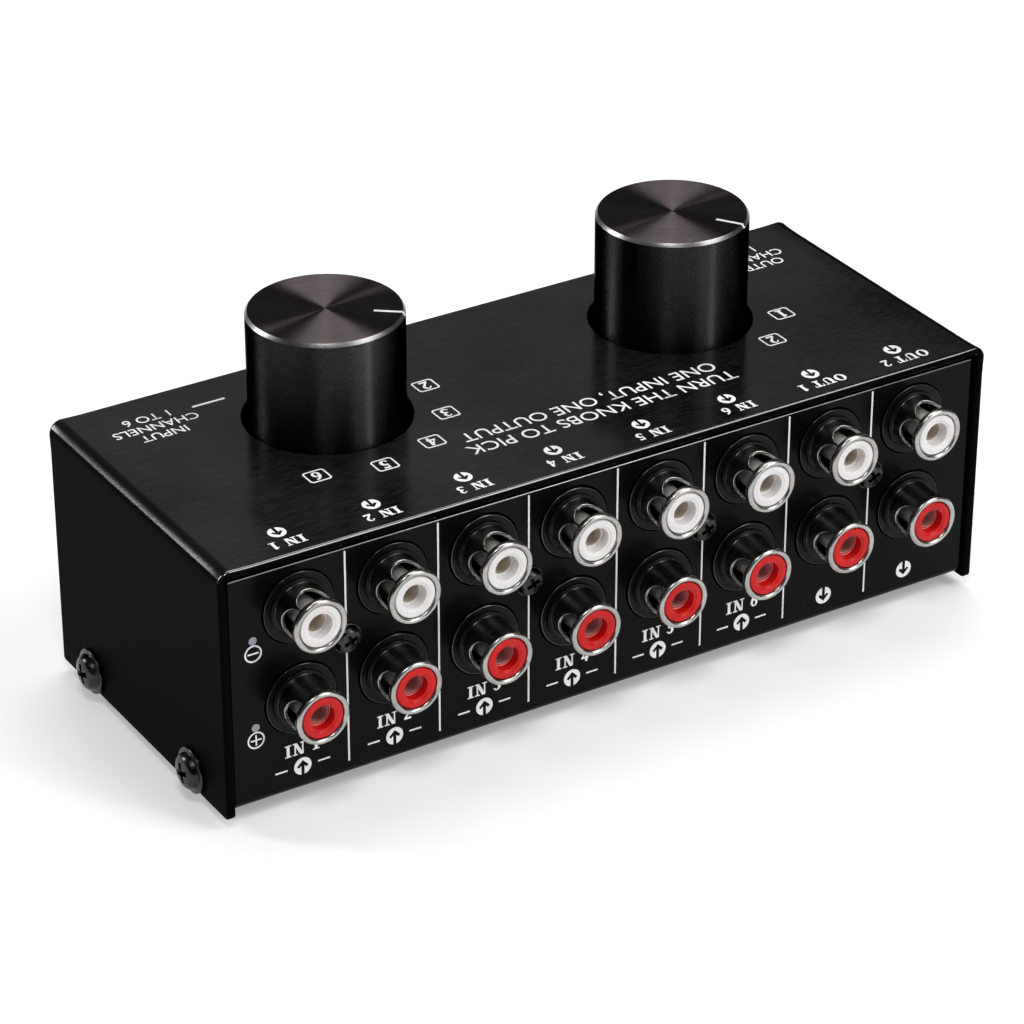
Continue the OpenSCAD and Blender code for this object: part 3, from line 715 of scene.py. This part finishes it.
# the panel's top edge is drawn with the painted edge highlight
easedCopy("chassis", "chassisSheet", chassis["edgeSoftness"], 3, ["panelBlackEnamel", "paintedEdgeHighlight"],
          clamp=False, edgeAbove=chassisHigh.z - chassis["edgeHighlightDepth"])
block = {
    "edgeSoftness": 0.18,
    "collarDrawn": 5.6,
    "collarShown": 5.95,  # the photo's collars all but fill the panel's holes
    "collarBand": 0.12,  # points this near the drawn radius belong to a collar
}


def widerCollar(spot):
    x = min(columnX, key=lambda c: abs(c - spot.x))
    z = min(rowZ.values(), key=lambda c: abs(c - spot.z))
    out = Vector((spot.x - x, 0, spot.z - z))
    if abs(out.length - block["collarDrawn"]) < block["collarBand"]:
        return spot + out.normalized() * (block["collarShown"] - out.length)
    return spot


for number in range(1, 5):
    easedCopy(f"jack_block_{number}", f"jackBlock{number}", block["edgeSoftness"], 2,
              ["blackAbs", "polishedBlackAbs"], widerCollar)
print("chassis and jack blocks made")

# Jack shells: base flange, slotted barrel and a rolled rim
shell = {
    "base": 4.9,  # radii
    "root": 4.32,
    "neck": 4.02,
    "rim": 4.5,
    "mouth": 3.56,
    "backMouth": 3.8,
    "baseHeight": 0.32,
    "rimLength": 1.28,
    "rimRoll": 0.46,
    "slots": 3,  # a quarter turn apart
    "slotWidth": 5.4,
    "slotLength": 3.37,
    "slotStart": {"white": -1.5, "red": 178.5},
    "slotEdge": 0.12,
    "segments": 96,
}


def makeShells(colour):
    low, high = nodeBox(f"jack_shell_in_1_{colour}")
    length = high.y - low.y
    neck = length - shell["rimLength"]
    profile = filleted([
        (shell["backMouth"], 0, 0), (shell["base"], 0, 0.05), (shell["base"], shell["baseHeight"], 0.14),
        (shell["root"], shell["baseHeight"] + 0.1, 0.25), (shell["neck"], neck - 0.08, 0.08),
        (shell["rim"] - 0.06, neck + 0.26, 0.22), (shell["rim"], length, shell["rimRoll"]),
        (shell["mouth"], length, 0.44), (shell["mouth"], neck, 0.1)], steps=6, closed=True)
    bm = bmesh.new()
    faces = lathe(bm, profile, shell["segments"], closed=True)
    uv = bm.loops.layers.uv.new("spun")
    for face in faces:
        middle = face.calc_center_median()
        if middle.z > neck - 0.1:
            face.material_index = 1
        # the whole base flange takes the black plastic: painted dark, standing in for the dark that the
        # nickel flange mirrors
        elif middle.z < shell["baseHeight"] + 0.16:
            face.material_index = 2
        around = math.atan2(middle.y, middle.x)
        for loop in face.loops:  # along the barrel, and round it
            x, y, z = loop.vert.co
            angle = around + math.remainder(math.atan2(y, x) - around, 2 * math.pi)
            loop[uv].uv = (z / perMetre, angle)
    mesh = toMesh(bm, "shellShape")

    # barrel in the nickel painted dark, rim and slot edges in the paler nickel, base flange in the
    # painted-dark black plastic
    looks = ["turnedNickel", "brightNickel", "blackAbs"]
    paint(mesh, *looks)
    half, back = shell["slotWidth"] / 2, neck - shell["slotLength"]
    arch = [(half, neck - back), (-half, neck - back)] + circle(half, 28, (0, half), 180, 360)
    for k in range(shell["slots"]):
        angle = math.radians(shell["slotStart"][colour] + 90 * k)
        # the arch stands along the barrel and is pushed out through its wall
        turn = Matrix.Rotation(angle, 4, "Z") @ Matrix.Translation((0, 0, back)) @ Matrix((
            (0, 0, 1, 0), (1, 0, 0, 0), (0, 1, 0, 0), (0, 0, 0, 1)))
        slot = bmesh.new()
        # the slot walls and eased slot edges take the paler nickel: a painted highlight that outlines each
        # slot brightly
        for face in prism(slot, arch, 0.6, shell["base"] + 1, turn):
            face.material_index = 1
        cutter = toMesh(slot, "slotCutter")
        paint(cutter, *looks)
        mesh = carved(mesh, cutter)
    mesh = softened(mesh, shell["slotEdge"], segments=2, material=1, clamp=False)
    mesh.transform(Matrix.Translation(Vector((columnX[0], high.y, rowZ[colour])) / perMetre) @ facingOut)
    mesh = inRows(mesh, looks, len(sources), (jackPitch, 0, 0))
    addPiece(f"jackShells{colour.title()}", mesh, "housing",
             [f"jack_shell_{s}_{colour}" for s in sources])


# Inserts: coloured insulators with a stepped mouth to the pin hole
insert = {
    "face": 3.44,  # radii
    "ledge": 2.55,
    "mouth": 2.35,
    "throat": 2.03,
    "bore": 1.65,
    "neck": 2.3,
    "lip": 0.14,
    "ledgeDepth": 0.12,
    "throatDepth": 1.7,
    "flange": 1.6,
    # the sleeve finishes carry a painted tint of the light in each plastic
    "sleeve": {"white": "frostedTin", "red": "redLitTin"},
    "segments": 64,
}


def makeInserts(colour):
    low, high = insertBox["in_1", colour]
    length = high.y - low.y
    shoulder = length - insert["flange"]
    ledge, step = length - insert["ledgeDepth"], length - insert["throatDepth"]
    profile = filleted([
        (insert["bore"], 0, 0), (insert["neck"], 0, 0.15), (insert["neck"], shoulder, 0.1),
        (insert["face"], shoulder, 0.08), (insert["face"], length, insert["lip"]),
        (insert["ledge"], length, 0.05), (insert["mouth"], ledge, 0.05), (insert["throat"], ledge, 0.16),
        (insert["throat"] - 0.03, step, 0.05), (insert["bore"], step - 0.05, 0.05),
        (insert["bore"], step - 1.5, 0)], closed=True)
    bm = bmesh.new()
    for face in lathe(bm, profile, insert["segments"], closed=True):
        middle = face.calc_center_median()
        reach = math.hypot(middle.x, middle.y)
        behind = middle.z < shoulder + 0.01 and reach > insert["bore"] + 0.2
        deep = middle.z < step - 0.03 and reach < insert["bore"] + 0.1
        face.material_index = 1 if behind else 2 if deep else 0
    mesh = toMesh(bm, "insertShape")
    mesh.transform(Matrix.Translation(Vector((columnX[0], high.y, rowZ[colour])) / perMetre) @ facingOut)
    looks = [f"{colour}Abs", "castZinc", insert["sleeve"][colour]]
    mesh = inRows(mesh, looks, len(sources), (jackPitch, 0, 0))
    addPiece(f"jackInserts{colour.title()}", mesh, "housing",
             [f"jack_insert_{s}_{colour}" for s in sources])


for colour in colours:
    makeShells(colour)
    makeInserts(colour)
print("jack shells and inserts made")

# Screws: a domed head with a cross recess, on a flange or without
coverScrew = {"flange": 0.7, "flangeHeight": 0.6, "crossWidth": 0.85, "crossReach": 1.75, "crossDepth": 1.3,
              "shank": 1.4, "shankLength": 6.0, "turned": (18, 47)}  # left and right, in degrees
blockScrew = {"flange": 0.2, "flangeHeight": 0.3, "crossWidth": 0.7, "crossReach": 1.3, "crossDepth": 1.0,
              "shank": 1.2, "shankLength": 6.0, "turned": 24}
crossTaper = (0.55, 1.12)  # the recess narrows to its floor as a driver tip does


def screwMesh(size, headRadius, headHeight, turned):
    dome = headRadius - size["flange"]
    profile = filleted([
        (0, -size["shankLength"], 0), (size["shank"], -size["shankLength"], 0.3), (size["shank"], 0, 0),
        (headRadius, 0, 0.05), (headRadius, size["flangeHeight"], size["flangeHeight"] * 0.45),
        (dome, size["flangeHeight"] + 0.05, 0.12), (dome * 0.86, headHeight * 0.86, dome * 0.5),
        (dome * 0.4, headHeight, dome * 0.8), (0, headHeight, 0)], steps=6)
    bm = bmesh.new()
    lathe(bm, profile, 64)
    mesh = toMesh(bm, "screwShape")
    cutters = bmesh.new()
    wide, thin, deep = size["crossReach"], size["crossWidth"] / 2, size["crossDepth"]
    cross = [(thin, thin), (thin, wide), (-thin, wide), (-thin, thin), (-wide, thin), (-wide, -thin),
             (-thin, -thin), (-thin, -wide), (thin, -wide), (thin, -thin), (wide, -thin), (wide, thin)]

    def tapered(across, scale):
        return across * scale if abs(across) > thin else across

    rings = [[cutters.verts.new((tapered(x, scale), tapered(y, scale), height)) for x, y in cross]
             for height, scale in zip((headHeight - deep, headHeight + 0.5), crossTaper)]
    cutters.faces.new(rings[0][::-1])
    cutters.faces.new(rings[1])
    for k in range(len(cross)):
        n = (k + 1) % len(cross)
        cutters.faces.new((rings[0][k], rings[0][n], rings[1][n], rings[1][k]))
    mesh = softened(carved(mesh, toMesh(cutters, "crossCutter")), 0.08, segments=2)
    mesh.transform(Matrix.Rotation(math.radians(turned), 4, "Z"))
    return mesh


def makeCoverScrews():
    low, high = nodeBox("cover_screws")
    headRadius, headHeight = (high.z - low.z) / 2, coverLow.x - low.x
    firstY, lastY, z = low.y + headRadius, high.y - headRadius, (low.z + high.z) / 2
    bm = bmesh.new()
    for side, x, turned in zip((-1, 1), (coverLow.x, coverHigh.x), coverScrew["turned"]):
        mesh = screwMesh(coverScrew, headRadius, headHeight, turned)
        mesh.transform(Matrix.Translation(Vector((x, firstY, z)) / perMetre)
                       @ Matrix.Rotation(math.radians(90 * side), 4, "Y"))
        bm.from_mesh(mesh)
    pair = bpy.data.meshes.new("screwPair")
    bm.to_mesh(pair)
    bm.free()
    pair = inRows(pair, ["blackOxideSteel"], 2, (0, lastY - firstY, 0))
    addPiece("coverScrews", pair, "housing", ["cover_screws"])


def makeBlockScrews():
    low, high = nodeBox("jack_block_screws")
    headRadius, headHeight = (high.z - low.z) / 2, panelY - low.y
    firstX, lastX = low.x + headRadius, high.x - headRadius
    mesh = screwMesh(blockScrew, headRadius, headHeight, blockScrew["turned"])
    mesh.transform(Matrix.Translation(Vector((firstX, panelY, (low.z + high.z) / 2)) / perMetre) @ facingOut)
    mesh = inRows(mesh, ["blackOxideSteel"], 4, ((lastX - firstX) / 3, 0, 0))
    addPiece("blockScrews", mesh, "housing", ["jack_block_screws"])


makeCoverScrews()
makeBlockScrews()

# Feet: moulded rubber buttons with a dished sole
foot = {"radius": 4.5, "tip": 4.0, "dish": 2.2, "dishDepth": 0.4}


def makeFeet():
    low, high = nodeBox("rubber_feet")
    radius, top = foot["radius"], high.z
    profile = filleted([
        (0, foot["dishDepth"], 0), (foot["dish"], foot["dishDepth"], 0.4), (foot["dish"] + 0.5, 0, 0.3),
        (foot["tip"], 0, 0.5), (radius, top, 0.1), (0, top, 0)])
    bm = bmesh.new()
    lathe(bm, profile, 48, place=Matrix.Translation((low.x + radius, low.y + radius, low.z)))
    mesh = inRows(toMesh(bm, "footShape"), ["blackRubber"], 2, (high.x - low.x - 2 * radius, 0, 0),
                  2, (0, high.y - low.y - 2 * radius, 0))
    addPiece("rubberFeet", mesh, "housing", ["rubber_feet"])


makeFeet()
print("screws and feet made")

# Knobs: turned black aluminium with a spun top, a bright bevel and a painted pointer
knob = {
    "bevel": (0.42, 0.6),  # across the top and down the side
    "hollow": (8.5, 3.0),  # radius and depth under the skirt
    "shaftBore": 3.05,
    "boreDepth": 14.0,
    "setScrew": (1.55, 7.0),  # hole radius and height above the skirt
    "pointerStart": 7.6,
    "pointerWidth": 0.56,
    "pointerDepth": 0.14,
    "pointerProud": 0.015,
    "pointerAngle": {"input": -38, "output": -56},
    "segments": 160,
}


def makeKnob(control):
    spot = controls[control]
    radius, height = spot["radius"], spot["topZ"] - spot["baseZ"]
    across, drop = knob["bevel"]
    hollow, depth = knob["hollow"]
    bore, boreEnd = knob["shaftBore"], knob["boreDepth"]
    flat = radius - across
    profile = filleted([
        (0, boreEnd, 0), (bore, boreEnd, 0), (bore, depth, 0.2), (hollow, depth, 0.2), (hollow, 0, 0.15),
        (radius, 0, 0.35), (radius, height - drop, 0.06), (flat, height, 0.06), (0, height, 0)], steps=4)
    rings = [Vector((flat * share, height)) for share in (0.75, 0.5, 0.25, 0.1, 0.03)]
    profile[-1:-1] = rings  # so that the light turns evenly on the top
    bm = bmesh.new()
    faces = lathe(bm, profile, knob["segments"])
    uv = bm.loops.layers.uv.new("spun")
    for face in faces:
        middle = face.calc_center_median()
        reach, level = math.hypot(middle.x, middle.y), middle.z
        if level > height - 0.001:
            face.material_index = 1
        elif level > height - drop - 0.005 and reach > flat - 0.01:
            face.material_index = 2
        around = math.atan2(middle.y, middle.x)
        for loop in face.loops:  # up the side or out along the top, and round: light spreads across the cut
            x, y, z = loop.vert.co
            angle = math.atan2(y, x) if math.hypot(x, y) > 1e-6 else around
            angle = around + math.remainder(angle - around, 2 * math.pi)
            loop[uv].uv = ((z - math.hypot(x, y)) / perMetre, angle)
    mesh = toMesh(bm, f"{control}KnobShape", smoothAngle=28)
    cutter = bmesh.new()
    holeRadius, holeZ = knob["setScrew"]
    prism(cutter, circle(holeRadius, 32), bore - 0.5, radius + 1,
          Matrix.Translation((0, 0, holeZ)) @ Matrix.Rotation(math.radians(-90), 4, "Y"))
    mesh = carved(mesh, toMesh(cutter, "setScrewCutter"))
    paint(mesh, "blastedBlackAnodising", "spunBlackAnodising", "diamondCutAluminium")
    place = (Matrix.Translation(Vector((spot["x"], spot["y"], spot["baseZ"])) / perMetre)
             @ Matrix.Rotation(math.radians(knob["pointerAngle"][control]), 4, "Z"))
    mesh.transform(place)
    addPiece(f"{control}Knob", mesh, f"{control}_control", [f"{control}_knob"])

    proud, deep, wide = knob["pointerProud"], knob["pointerDepth"], knob["pointerWidth"] / 2
    outline = [(knob["pointerStart"], height - deep), (flat - deep * 0.4, height - deep),
               (radius - deep, height - drop - deep * 0.4), (radius + proud, height - drop),
               (flat + proud, height + proud), (knob["pointerStart"], height + proud)]
    bm = bmesh.new()
    prism(bm, outline, -wide, wide, Matrix.Rotation(math.radians(90), 4, "X"))
    mesh = toMesh(bm, f"{control}PointerShape")
    paint(mesh, "whiteGrooveEnamel")
    mesh.transform(place)
    addPiece(f"{control}Pointer", mesh, f"{control}_control")


for control in controls:
    makeKnob(control)
print("knobs made")


# Flat print: outlines are merged, raised a hair off the surface and closed
ink = {"proud": 0.03, "sunk": 0.03}


def counterClockwise(outline):
    area = sum(a[0] * b[1] - b[0] * a[1] for a, b in zip(outline, outline[1:] + outline[:1]))
    return outline if area > 0 else outline[::-1]


def printShape(bm, place, solids, holes=()):
    points, faces = [], []
    for outline in [*solids, *holes]:
        outline = counterClockwise([tuple(p) for p in outline])
        faces.append(list(range(len(points), len(points) + len(outline))))
        points += [Vector(p) for p in outline]
    # overlapping strokes become one shape, and what lies in a hole is left out
    spots, _, cells, _, _, owners = delaunay_2d_cdt(points, [], faces, 1, 1e-4)
    cut = set(range(len(solids), len(faces)))
    cells = [cell for cell, owner in zip(cells, owners) if owner and not cut & set(owner)]
    printCells(bm, place, spots, cells)


def printCells(bm, place, spots, cells):
    used = {i for cell in cells for i in cell}
    low = {i: bm.verts.new(place @ Vector((spots[i][0], spots[i][1], -ink["sunk"]))) for i in used}
    high = {i: bm.verts.new(place @ Vector((spots[i][0], spots[i][1], ink["proud"]))) for i in used}
    rims = {(cell[k], cell[(k + 1) % len(cell)]) for cell in cells for k in range(len(cell))}
    for cell in cells:
        bm.faces.new([high[i] for i in cell])
        bm.faces.new([low[i] for i in reversed(cell)])
    for a, b in rims:
        if (b, a) not in rims:
            bm.faces.new((low[a], low[b], high[b], high[a]))


def onTop(x, y):  # print on the cover reads from the user's side, so it is turned half round
    return Matrix.Translation((x, y, coverHigh.z)) @ Matrix.Rotation(math.radians(180), 4, "Z")


def onPanel(x, z):
    return Matrix.Translation((x, panelY, z)) @ facingOut


# Letters with serifs, drawn one unit high
def bar(left, low, right, high):
    return [(left, low), (right, low), (right, high), (left, high)]


def band(outer, inner, start, end, steps=14):
    # a curved stroke between two ellipses, each (x, y, across, up)
    def run(ellipse, angles):
        x, y, across, up = ellipse
        return [(x + across * math.cos(math.radians(a)), y + up * math.sin(math.radians(a))) for a in angles]
    angles = [start + (end - start) * k / steps for k in range(steps + 1)]
    return run(outer, angles) + run(inner, angles[::-1])


letters = {
    "I": (0.5, [bar(0.13, 0, 0.37, 1), bar(0, 0, 0.5, 0.09), bar(0, 0.91, 0.5, 1)]),
    "N": (1.0, [bar(0.14, 0, 0.25, 1), [(0.06, 1), (0.6, 0), (0.86, 0), (0.34, 1)], bar(0.75, 0, 0.86, 1),
                bar(0, 0, 0.39, 0.09), bar(0, 0.91, 0.3, 1), bar(0.61, 0.91, 1.0, 1)]),
    "O": (0.94, [band((0.47, 0.5, 0.47, 0.52), (0.47, 0.5, 0.21, 0.42), 0, 180),
                 band((0.47, 0.5, 0.47, 0.52), (0.47, 0.5, 0.21, 0.42), 180, 360)]),
    "U": (0.94, [bar(0.11, 0.33, 0.36, 1), bar(0.7, 0.33, 0.81, 1), bar(0, 0.91, 0.48, 1),
                 bar(0.58, 0.91, 0.94, 1),
                 band((0.46, 0.34, 0.35, 0.36), (0.53, 0.34, 0.17, 0.25), 180, 360)]),
    "T": (0.84, [bar(0.3, 0, 0.54, 1), bar(0.02, 0.9, 0.82, 1), bar(0.02, 0.68, 0.09, 1),
                 bar(0.75, 0.68, 0.82, 1), bar(0.17, 0, 0.67, 0.09)]),
    "1": (0.58, [bar(0.19, 0, 0.42, 1), [(0.03, 0.8), (0.2, 0.74), (0.42, 1), (0.36, 1)],
                 bar(0.04, 0, 0.57, 0.09)]),
    "2": (0.64, [band((0.31, 0.71, 0.29, 0.29), (0.27, 0.72, 0.13, 0.19), -35, 175),
                 [(0.56, 0.58), (0.36, 0.6), (0.03, 0.13), (0.03, 0), (0.2, 0.13)], bar(0.03, 0, 0.6, 0.17)]),
    "3": (0.6, [band((0.29, 0.74, 0.26, 0.26), (0.25, 0.75, 0.11, 0.16), -85, 160),
                band((0.27, 0.28, 0.31, 0.29), (0.23, 0.28, 0.13, 0.18), -160, 88),
                bar(0.15, 0.46, 0.33, 0.57)]),
    "4": (0.66, [bar(0.36, 0, 0.56, 1), bar(0.02, 0.24, 0.64, 0.38),
                 [(0.02, 0.3), (0.15, 0.3), (0.44, 0.86), (0.42, 1)]]),
    "5": (0.6, [bar(0.11, 0.84, 0.56, 1), bar(0.11, 0.47, 0.2, 1),
                band((0.27, 0.32, 0.31, 0.33), (0.22, 0.32, 0.13, 0.21), -160, 128)]),
    "6": (0.64, [band((0.32, 0.31, 0.3, 0.32), (0.32, 0.31, 0.11, 0.21), 0, 180),
                 band((0.32, 0.31, 0.3, 0.32), (0.32, 0.31, 0.11, 0.21), 180, 360),
                 band((0.6, 0.33, 0.58, 0.68), (0.62, 0.32, 0.41, 0.56), 100, 180)]),
    " ": (0.34, []),
}


def printWord(bm, place, word, height, gap=0.12):
    width = sum(letters[c][0] for c in word) + gap * (len(word) - 1)
    pen = -width / 2
    for c in word:
        advance, shapes = letters[c]
        if shapes:
            printShape(bm, place, [[((pen + x) * height, y * height) for x, y in shape] for shape in shapes])
        pen += advance + gap


def printLine(bm, place, text, size, length=None):
    # plain sans lettering from the built-in face, spread to a length where one is given
    curve = bpy.data.curves.new("lettering", "FONT")
    curve.body, curve.size, curve.align_x = text, size, "CENTER"
    holder = bpy.data.objects.new("lettering", curve)
    scene.collection.objects.link(holder)
    mesh = bpy.data.meshes.new_from_object(holder.evaluated_get(bpy.context.evaluated_depsgraph_get()))
    bpy.data.objects.remove(holder)
    flat = bmesh.new()
    flat.from_mesh(mesh)
    bmesh.ops.remove_doubles(flat, verts=flat.verts, dist=1e-4)
    bmesh.ops.triangulate(flat, faces=flat.faces)
    flat.verts.index_update()
    cells = [[v.index for v in (f.verts if f.normal.z > 0 else reversed(f.verts))] for f in flat.faces]
    spread = length / (2 * max(v.co.x for v in flat.verts)) if length else 1
    printCells(bm, place, [(v.co.x * spread, v.co.y) for v in flat.verts], cells)
    flat.free()


def arrowDisc(radius):
    # a filled disc with an arrow left open in it, tail out through the rim
    arrow = [(-0.19, -1.2), (0.19, -1.2), (0.19, 0.02), (0.44, -0.22), (0.68, 0.02), (0, 0.7), (-0.68, 0.02),
             (-0.44, -0.22), (-0.19, 0.02)]
    return [circle(radius, 40)], [[(x * radius, y * radius) for x, y in arrow]]


def roundedBox(width, height, corner):
    w, h = width / 2, height / 2
    return filleted([(-w, -h, corner), (w, -h, corner), (w, h, corner), (-w, h, corner)], closed=True)


def label(source):
    kind, number = source.split("_")
    return f"{kind.upper()} {number}"


topPrint = {
    "markRadius": 1.45,
    "markFromFront": 6.85,
    "wordFromFront": 2.35,
    "wordHeight": 2.1,
    "boxSize": (3.75, 3.5),
    "boxCorners": (0.6, 0.4),  # radii outside and inside
    "boxLine": 0.27,
    "digitHeight": 2.45,
    "dial": {"input": (("1", 15.6, 9.0), ("2", 17.8, 0.06), ("3", 15.85, -9.55), ("4", 9.2, -16.5),
                       ("5", -0.7, -19.07), ("6", -11.33, -16.79)),
             "output": (("1", 16.07, -8.75), ("2", 9.45, -15.72))},  # number, and place from the knob's axis
    "legendSize": 2.9,
    "legendStep": 2.95,
    "legendBaseline": 0.7,  # of a step down from the legend's top
    "legends": {"input": ("INPUT", "CHANNELS", "1 TO 6"), "output": ("OUTPUT", "CHANNELS", "1 TO 2")},
    "legendPlace": {"input": (-56.3, 17.1), "output": (55.0, 17.6)},
    "rule": (-48.6, -42.9, 23.75, 0.5),  # from x, to x, at y, thickness
    "middle": (("TURN THE KNOBS TO PICK", 49.5), ("ONE INPUT, ONE OUTPUT", 47.0)),  # line and its length
    "middleSize": 3.9,
    "middlePlace": (5.5, -10.2),
    "middleStep": 4.0,
}


def makeTopPrint():
    bm = bmesh.new()
    for x, source in zip(columnX, sources):
        printShape(bm, onTop(x, coverLow.y + topPrint["markFromFront"]), *arrowDisc(topPrint["markRadius"]))
        wordY = coverLow.y + topPrint["wordFromFront"] + topPrint["wordHeight"]
        printWord(bm, onTop(x, wordY), label(source), topPrint["wordHeight"])
    wide, tall = topPrint["boxSize"]
    outside, inside = topPrint["boxCorners"]
    line, digit = topPrint["boxLine"], topPrint["digitHeight"]
    for control, dial in topPrint["dial"].items():
        spot = controls[control]
        for number, acrossX, acrossY in dial:
            place = onTop(spot["x"] + acrossX, spot["y"] + acrossY)
            printShape(bm, place, [roundedBox(wide, tall, outside)],
                       [roundedBox(wide - 2 * line, tall - 2 * line, inside)])
            printWord(bm, place @ Matrix.Translation((0, -digit / 2, 0)), number, digit)
    for control, lines in topPrint["legends"].items():
        x, y = topPrint["legendPlace"][control]
        for k, text in enumerate(lines):
            down = topPrint["legendStep"] * (k + topPrint["legendBaseline"])
            printLine(bm, onTop(x, y + down), text, topPrint["legendSize"])
    x, y = topPrint["middlePlace"]
    for k, (text, length) in enumerate(topPrint["middle"]):
        printLine(bm, onTop(x, y + topPrint["middleStep"] * k), text, topPrint["middleSize"], length)
    start, end, y, thick = topPrint["rule"]
    printShape(bm, onTop(0, y), [bar(-end, -thick / 2, -start, thick / 2)])
    mesh = toMesh(bm, "topPrint")
    paint(mesh, "whiteScreenInk")
    addPiece("topPrint", mesh, "housing")


panelPrint = {
    "separator": (5.3, 42.3, 0.3),  # lower end, upper end, width
    "markRadius": 1.5,
    "markZ": 7.1,
    "dash": (2.1, 0.28, 3.7),  # length, thickness, distance from the mark
    "wordZ": 9.35,
    "wordHeight": 2.15,
    "signX": -64.3,
    "signs": {"minus": 29.45, "plus": 14.3},
    "signRadius": 1.47,
    "signLine": 0.26,
    "signBar": 1.85,
    "dotRise": 2.2,
    "dotRadius": 0.68,
}


def makePanelPrint():
    low, high, wide = panelPrint["separator"]
    bm = bmesh.new()
    printShape(bm, onPanel((columnX[0] + columnX[1]) / 2, 0), [bar(-wide / 2, low, wide / 2, high)])
    mesh = inRows(toMesh(bm, "separatorShape"), ["whiteScreenInk"], len(sources) - 1, (jackPitch, 0, 0))
    addPiece("panelSeparators", mesh, "housing")

    long, thick, away = panelPrint["dash"]
    # inputs point up between two dashes, outputs point down with none
    for name, first, count, turn, dashes in (("inputMarks", 0, 6, 0, (-1, 1)),
                                             ("outputMarks", 6, 2, 180, ())):
        bm = bmesh.new()
        place = onPanel(columnX[first], panelPrint["markZ"])
        turned = place @ Matrix.Rotation(math.radians(turn), 4, "Z")
        printShape(bm, turned, *arrowDisc(panelPrint["markRadius"]))
        for side in dashes:
            centre = side * away
            printShape(bm, place, [bar(centre - long / 2, -thick / 2, centre + long / 2, thick / 2)])
        mesh = inRows(toMesh(bm, f"{name}Shape"), ["whiteScreenInk"], count, (jackPitch, 0, 0))
        addPiece(name, mesh, "housing")

    bm = bmesh.new()
    for x, source in zip(columnX, sources[:6]):
        printWord(bm, onPanel(x, panelPrint["wordZ"]), label(source), panelPrint["wordHeight"])
    ring, line, long = panelPrint["signRadius"], panelPrint["signLine"], panelPrint["signBar"] / 2
    for sign, z in panelPrint["signs"].items():
        place = onPanel(panelPrint["signX"], z)
        printShape(bm, place, [circle(ring, 40)], [circle(ring - line, 40)])
        printShape(bm, place, [bar(-long, -line / 2, long, line / 2)])
        if sign == "plus":
            for side in (-1, 1):
                printShape(bm, place, [bar(-line / 2, min(side * line / 2, side * long),
                                           line / 2, max(side * line / 2, side * long))])
    mesh = toMesh(bm, "panelPrint")
    paint(mesh, "whiteScreenInk")
    addPiece("panelPrint", mesh, "housing")

    bm = bmesh.new()
    for z in panelPrint["signs"].values():
        place = onPanel(panelPrint["signX"], z + panelPrint["dotRise"])
        printShape(bm, place, [circle(panelPrint["dotRadius"], 28)])
    mesh = toMesh(bm, "channelDots")
    paint(mesh, "greyScreenInk")
    addPiece("channelDots", mesh, "housing")


makeTopPrint()
makePanelPrint()
print("print made")

# CAD nodes that no piece replaces keep their shape and get a finish
carriedOver = {
    "circuit_board": "greenLaminate",
    "board_standoffs": "turnedBrass",
    "board_screws": "zincSteel",
    "jack_contacts": "turnedBrass",
}
for control in controls:
    carriedOver.update({
        f"{control}_switch_base": "brownPhenolic",
        f"{control}_switch_frame": "zincSteel",
        f"{control}_switch_pins": "tinnedCopper",
        f"{control}_rotor": "milkyNylon",
        f"{control}_shaft": "drawnAluminium",
        f"{control}_set_screw": "blackOxideSteel",
    })
for node, finishName in carriedOver.items():
    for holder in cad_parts[node].material_slots:
        holder.material = finish[finishName]
print("carried-over nodes finished:", len(carriedOver))
